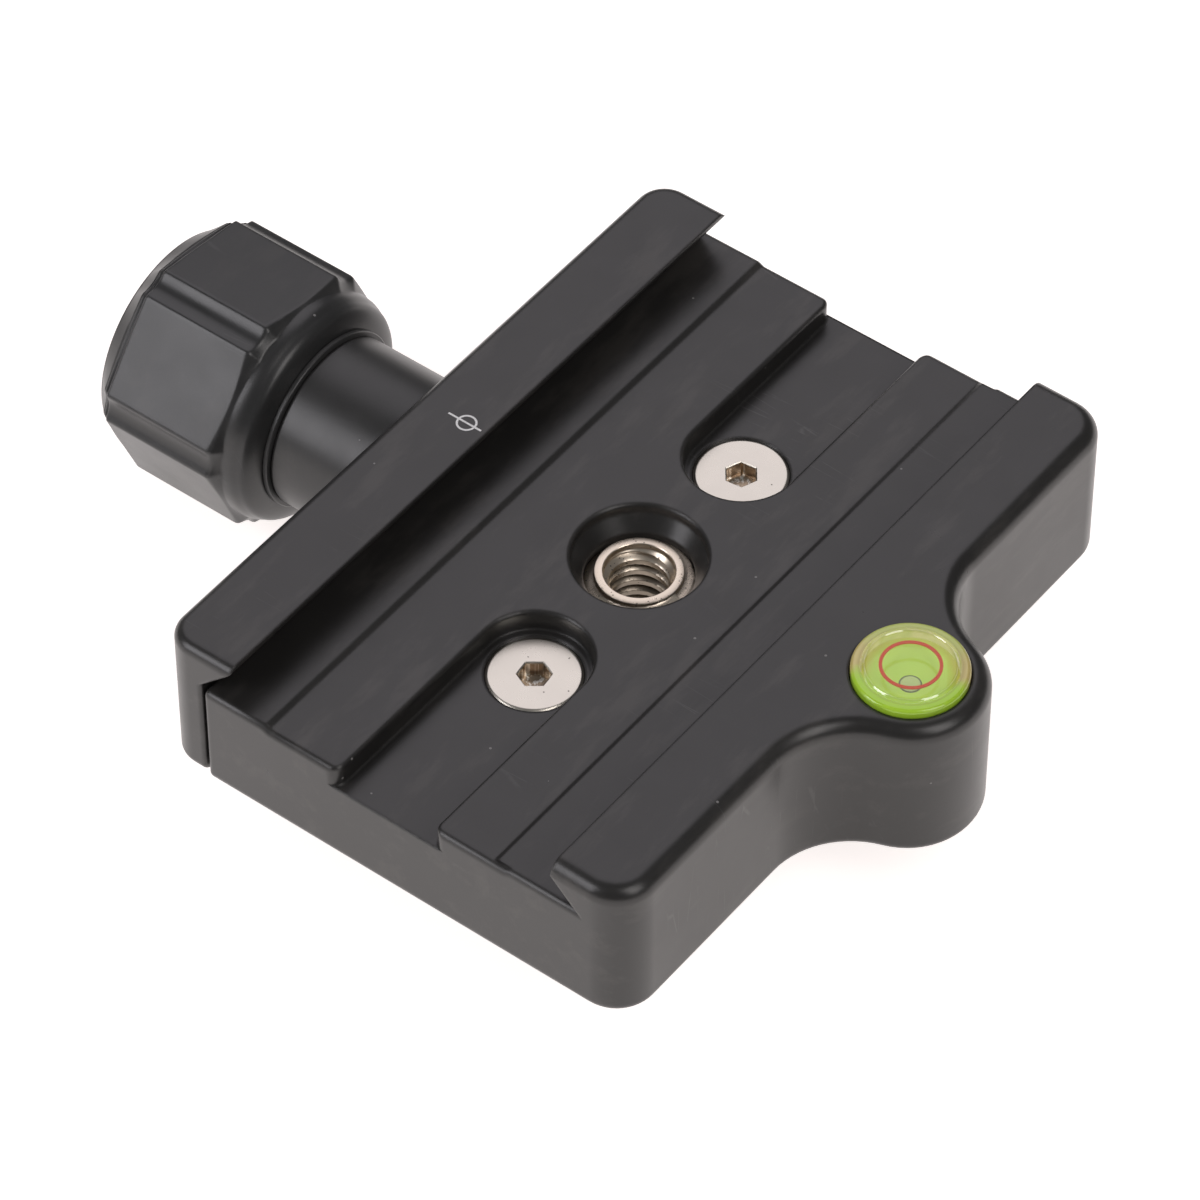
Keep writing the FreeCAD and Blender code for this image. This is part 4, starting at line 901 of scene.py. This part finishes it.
for name, where, wide, deep, watts, tint in (
        ("rear overhead bank", (-0.50, 0.55, 0.90), 0.9, 0.9, 2.7, (0.99, 0.94, 1.0)),
        ("left front bank", (-0.47, -0.70, 0.50), 0.42, 0.62, 3.4, (0.98, 0.96, 1.0)),
        ("right bank", (0.68, -0.08, 0.72), 0.45, 0.70, 2.9, (1.0, 0.96, 0.95))):
    lamp = bpy.data.lights.new(name, "AREA")
    lamp.shape = "RECTANGLE"
    lamp.size = wide
    lamp.size_y = deep
    lamp.energy = watts
    lamp.color = tint
    bank = bpy.data.objects.new(name, lamp)
    bank.location = where
    bank.rotation_euler = (Vector((0, 0, 0)) - Vector(where)).to_track_quat("-Z", "Y").to_euler()
    bpy.context.scene.collection.objects.link(bank)

world = bpy.data.worlds.new("plain studio air")
world.use_nodes = True
world.node_tree.nodes.clear()
air = Wire(world.node_tree)
air_glow = air.add("Background", {}, {"Color": grey(1.0), "Strength": AIR_LIGHT})
air.add("OutputWorld", {}, {"Surface": air_glow})
bpy.context.scene.world = world


# Camera: the photograph's own, fitted to the clamp's straight edges and circles.
AZIMUTH = math.radians(37.534)
ELEVATION = math.radians(47.724)
ROLL = math.radians(-0.036)
ASIDE, RAISED, AWAY = -0.003315, 0.003430, 0.568868
FOCAL_PIXELS = 6669.28
PHOTO_WIDTH = 1200
SENSOR_WIDTH = 36.0
back = Vector((
    math.sin(AZIMUTH) * math.cos(ELEVATION), -math.cos(AZIMUTH) * math.cos(ELEVATION),
    math.sin(ELEVATION)))
level_right = Vector((math.cos(AZIMUTH), math.sin(AZIMUTH), 0.0))
level_up = back.cross(level_right)
right = math.cos(ROLL) * level_right + math.sin(ROLL) * level_up
up = math.cos(ROLL) * level_up - math.sin(ROLL) * level_right
lens = bpy.data.cameras.new("photo camera")
lens.sensor_width = SENSOR_WIDTH
lens.lens = FOCAL_PIXELS / PHOTO_WIDTH * lens.sensor_width
camera = bpy.data.objects.new("photo camera", lens)
camera.matrix_world = Matrix.Translation(right * ASIDE + up * RAISED + back * AWAY) @ Matrix(
    (right, up, back)).transposed().to_4x4()
bpy.context.scene.collection.objects.link(camera)
bpy.context.scene.camera = camera
bpy.context.scene.view_settings.view_transform = "Standard"
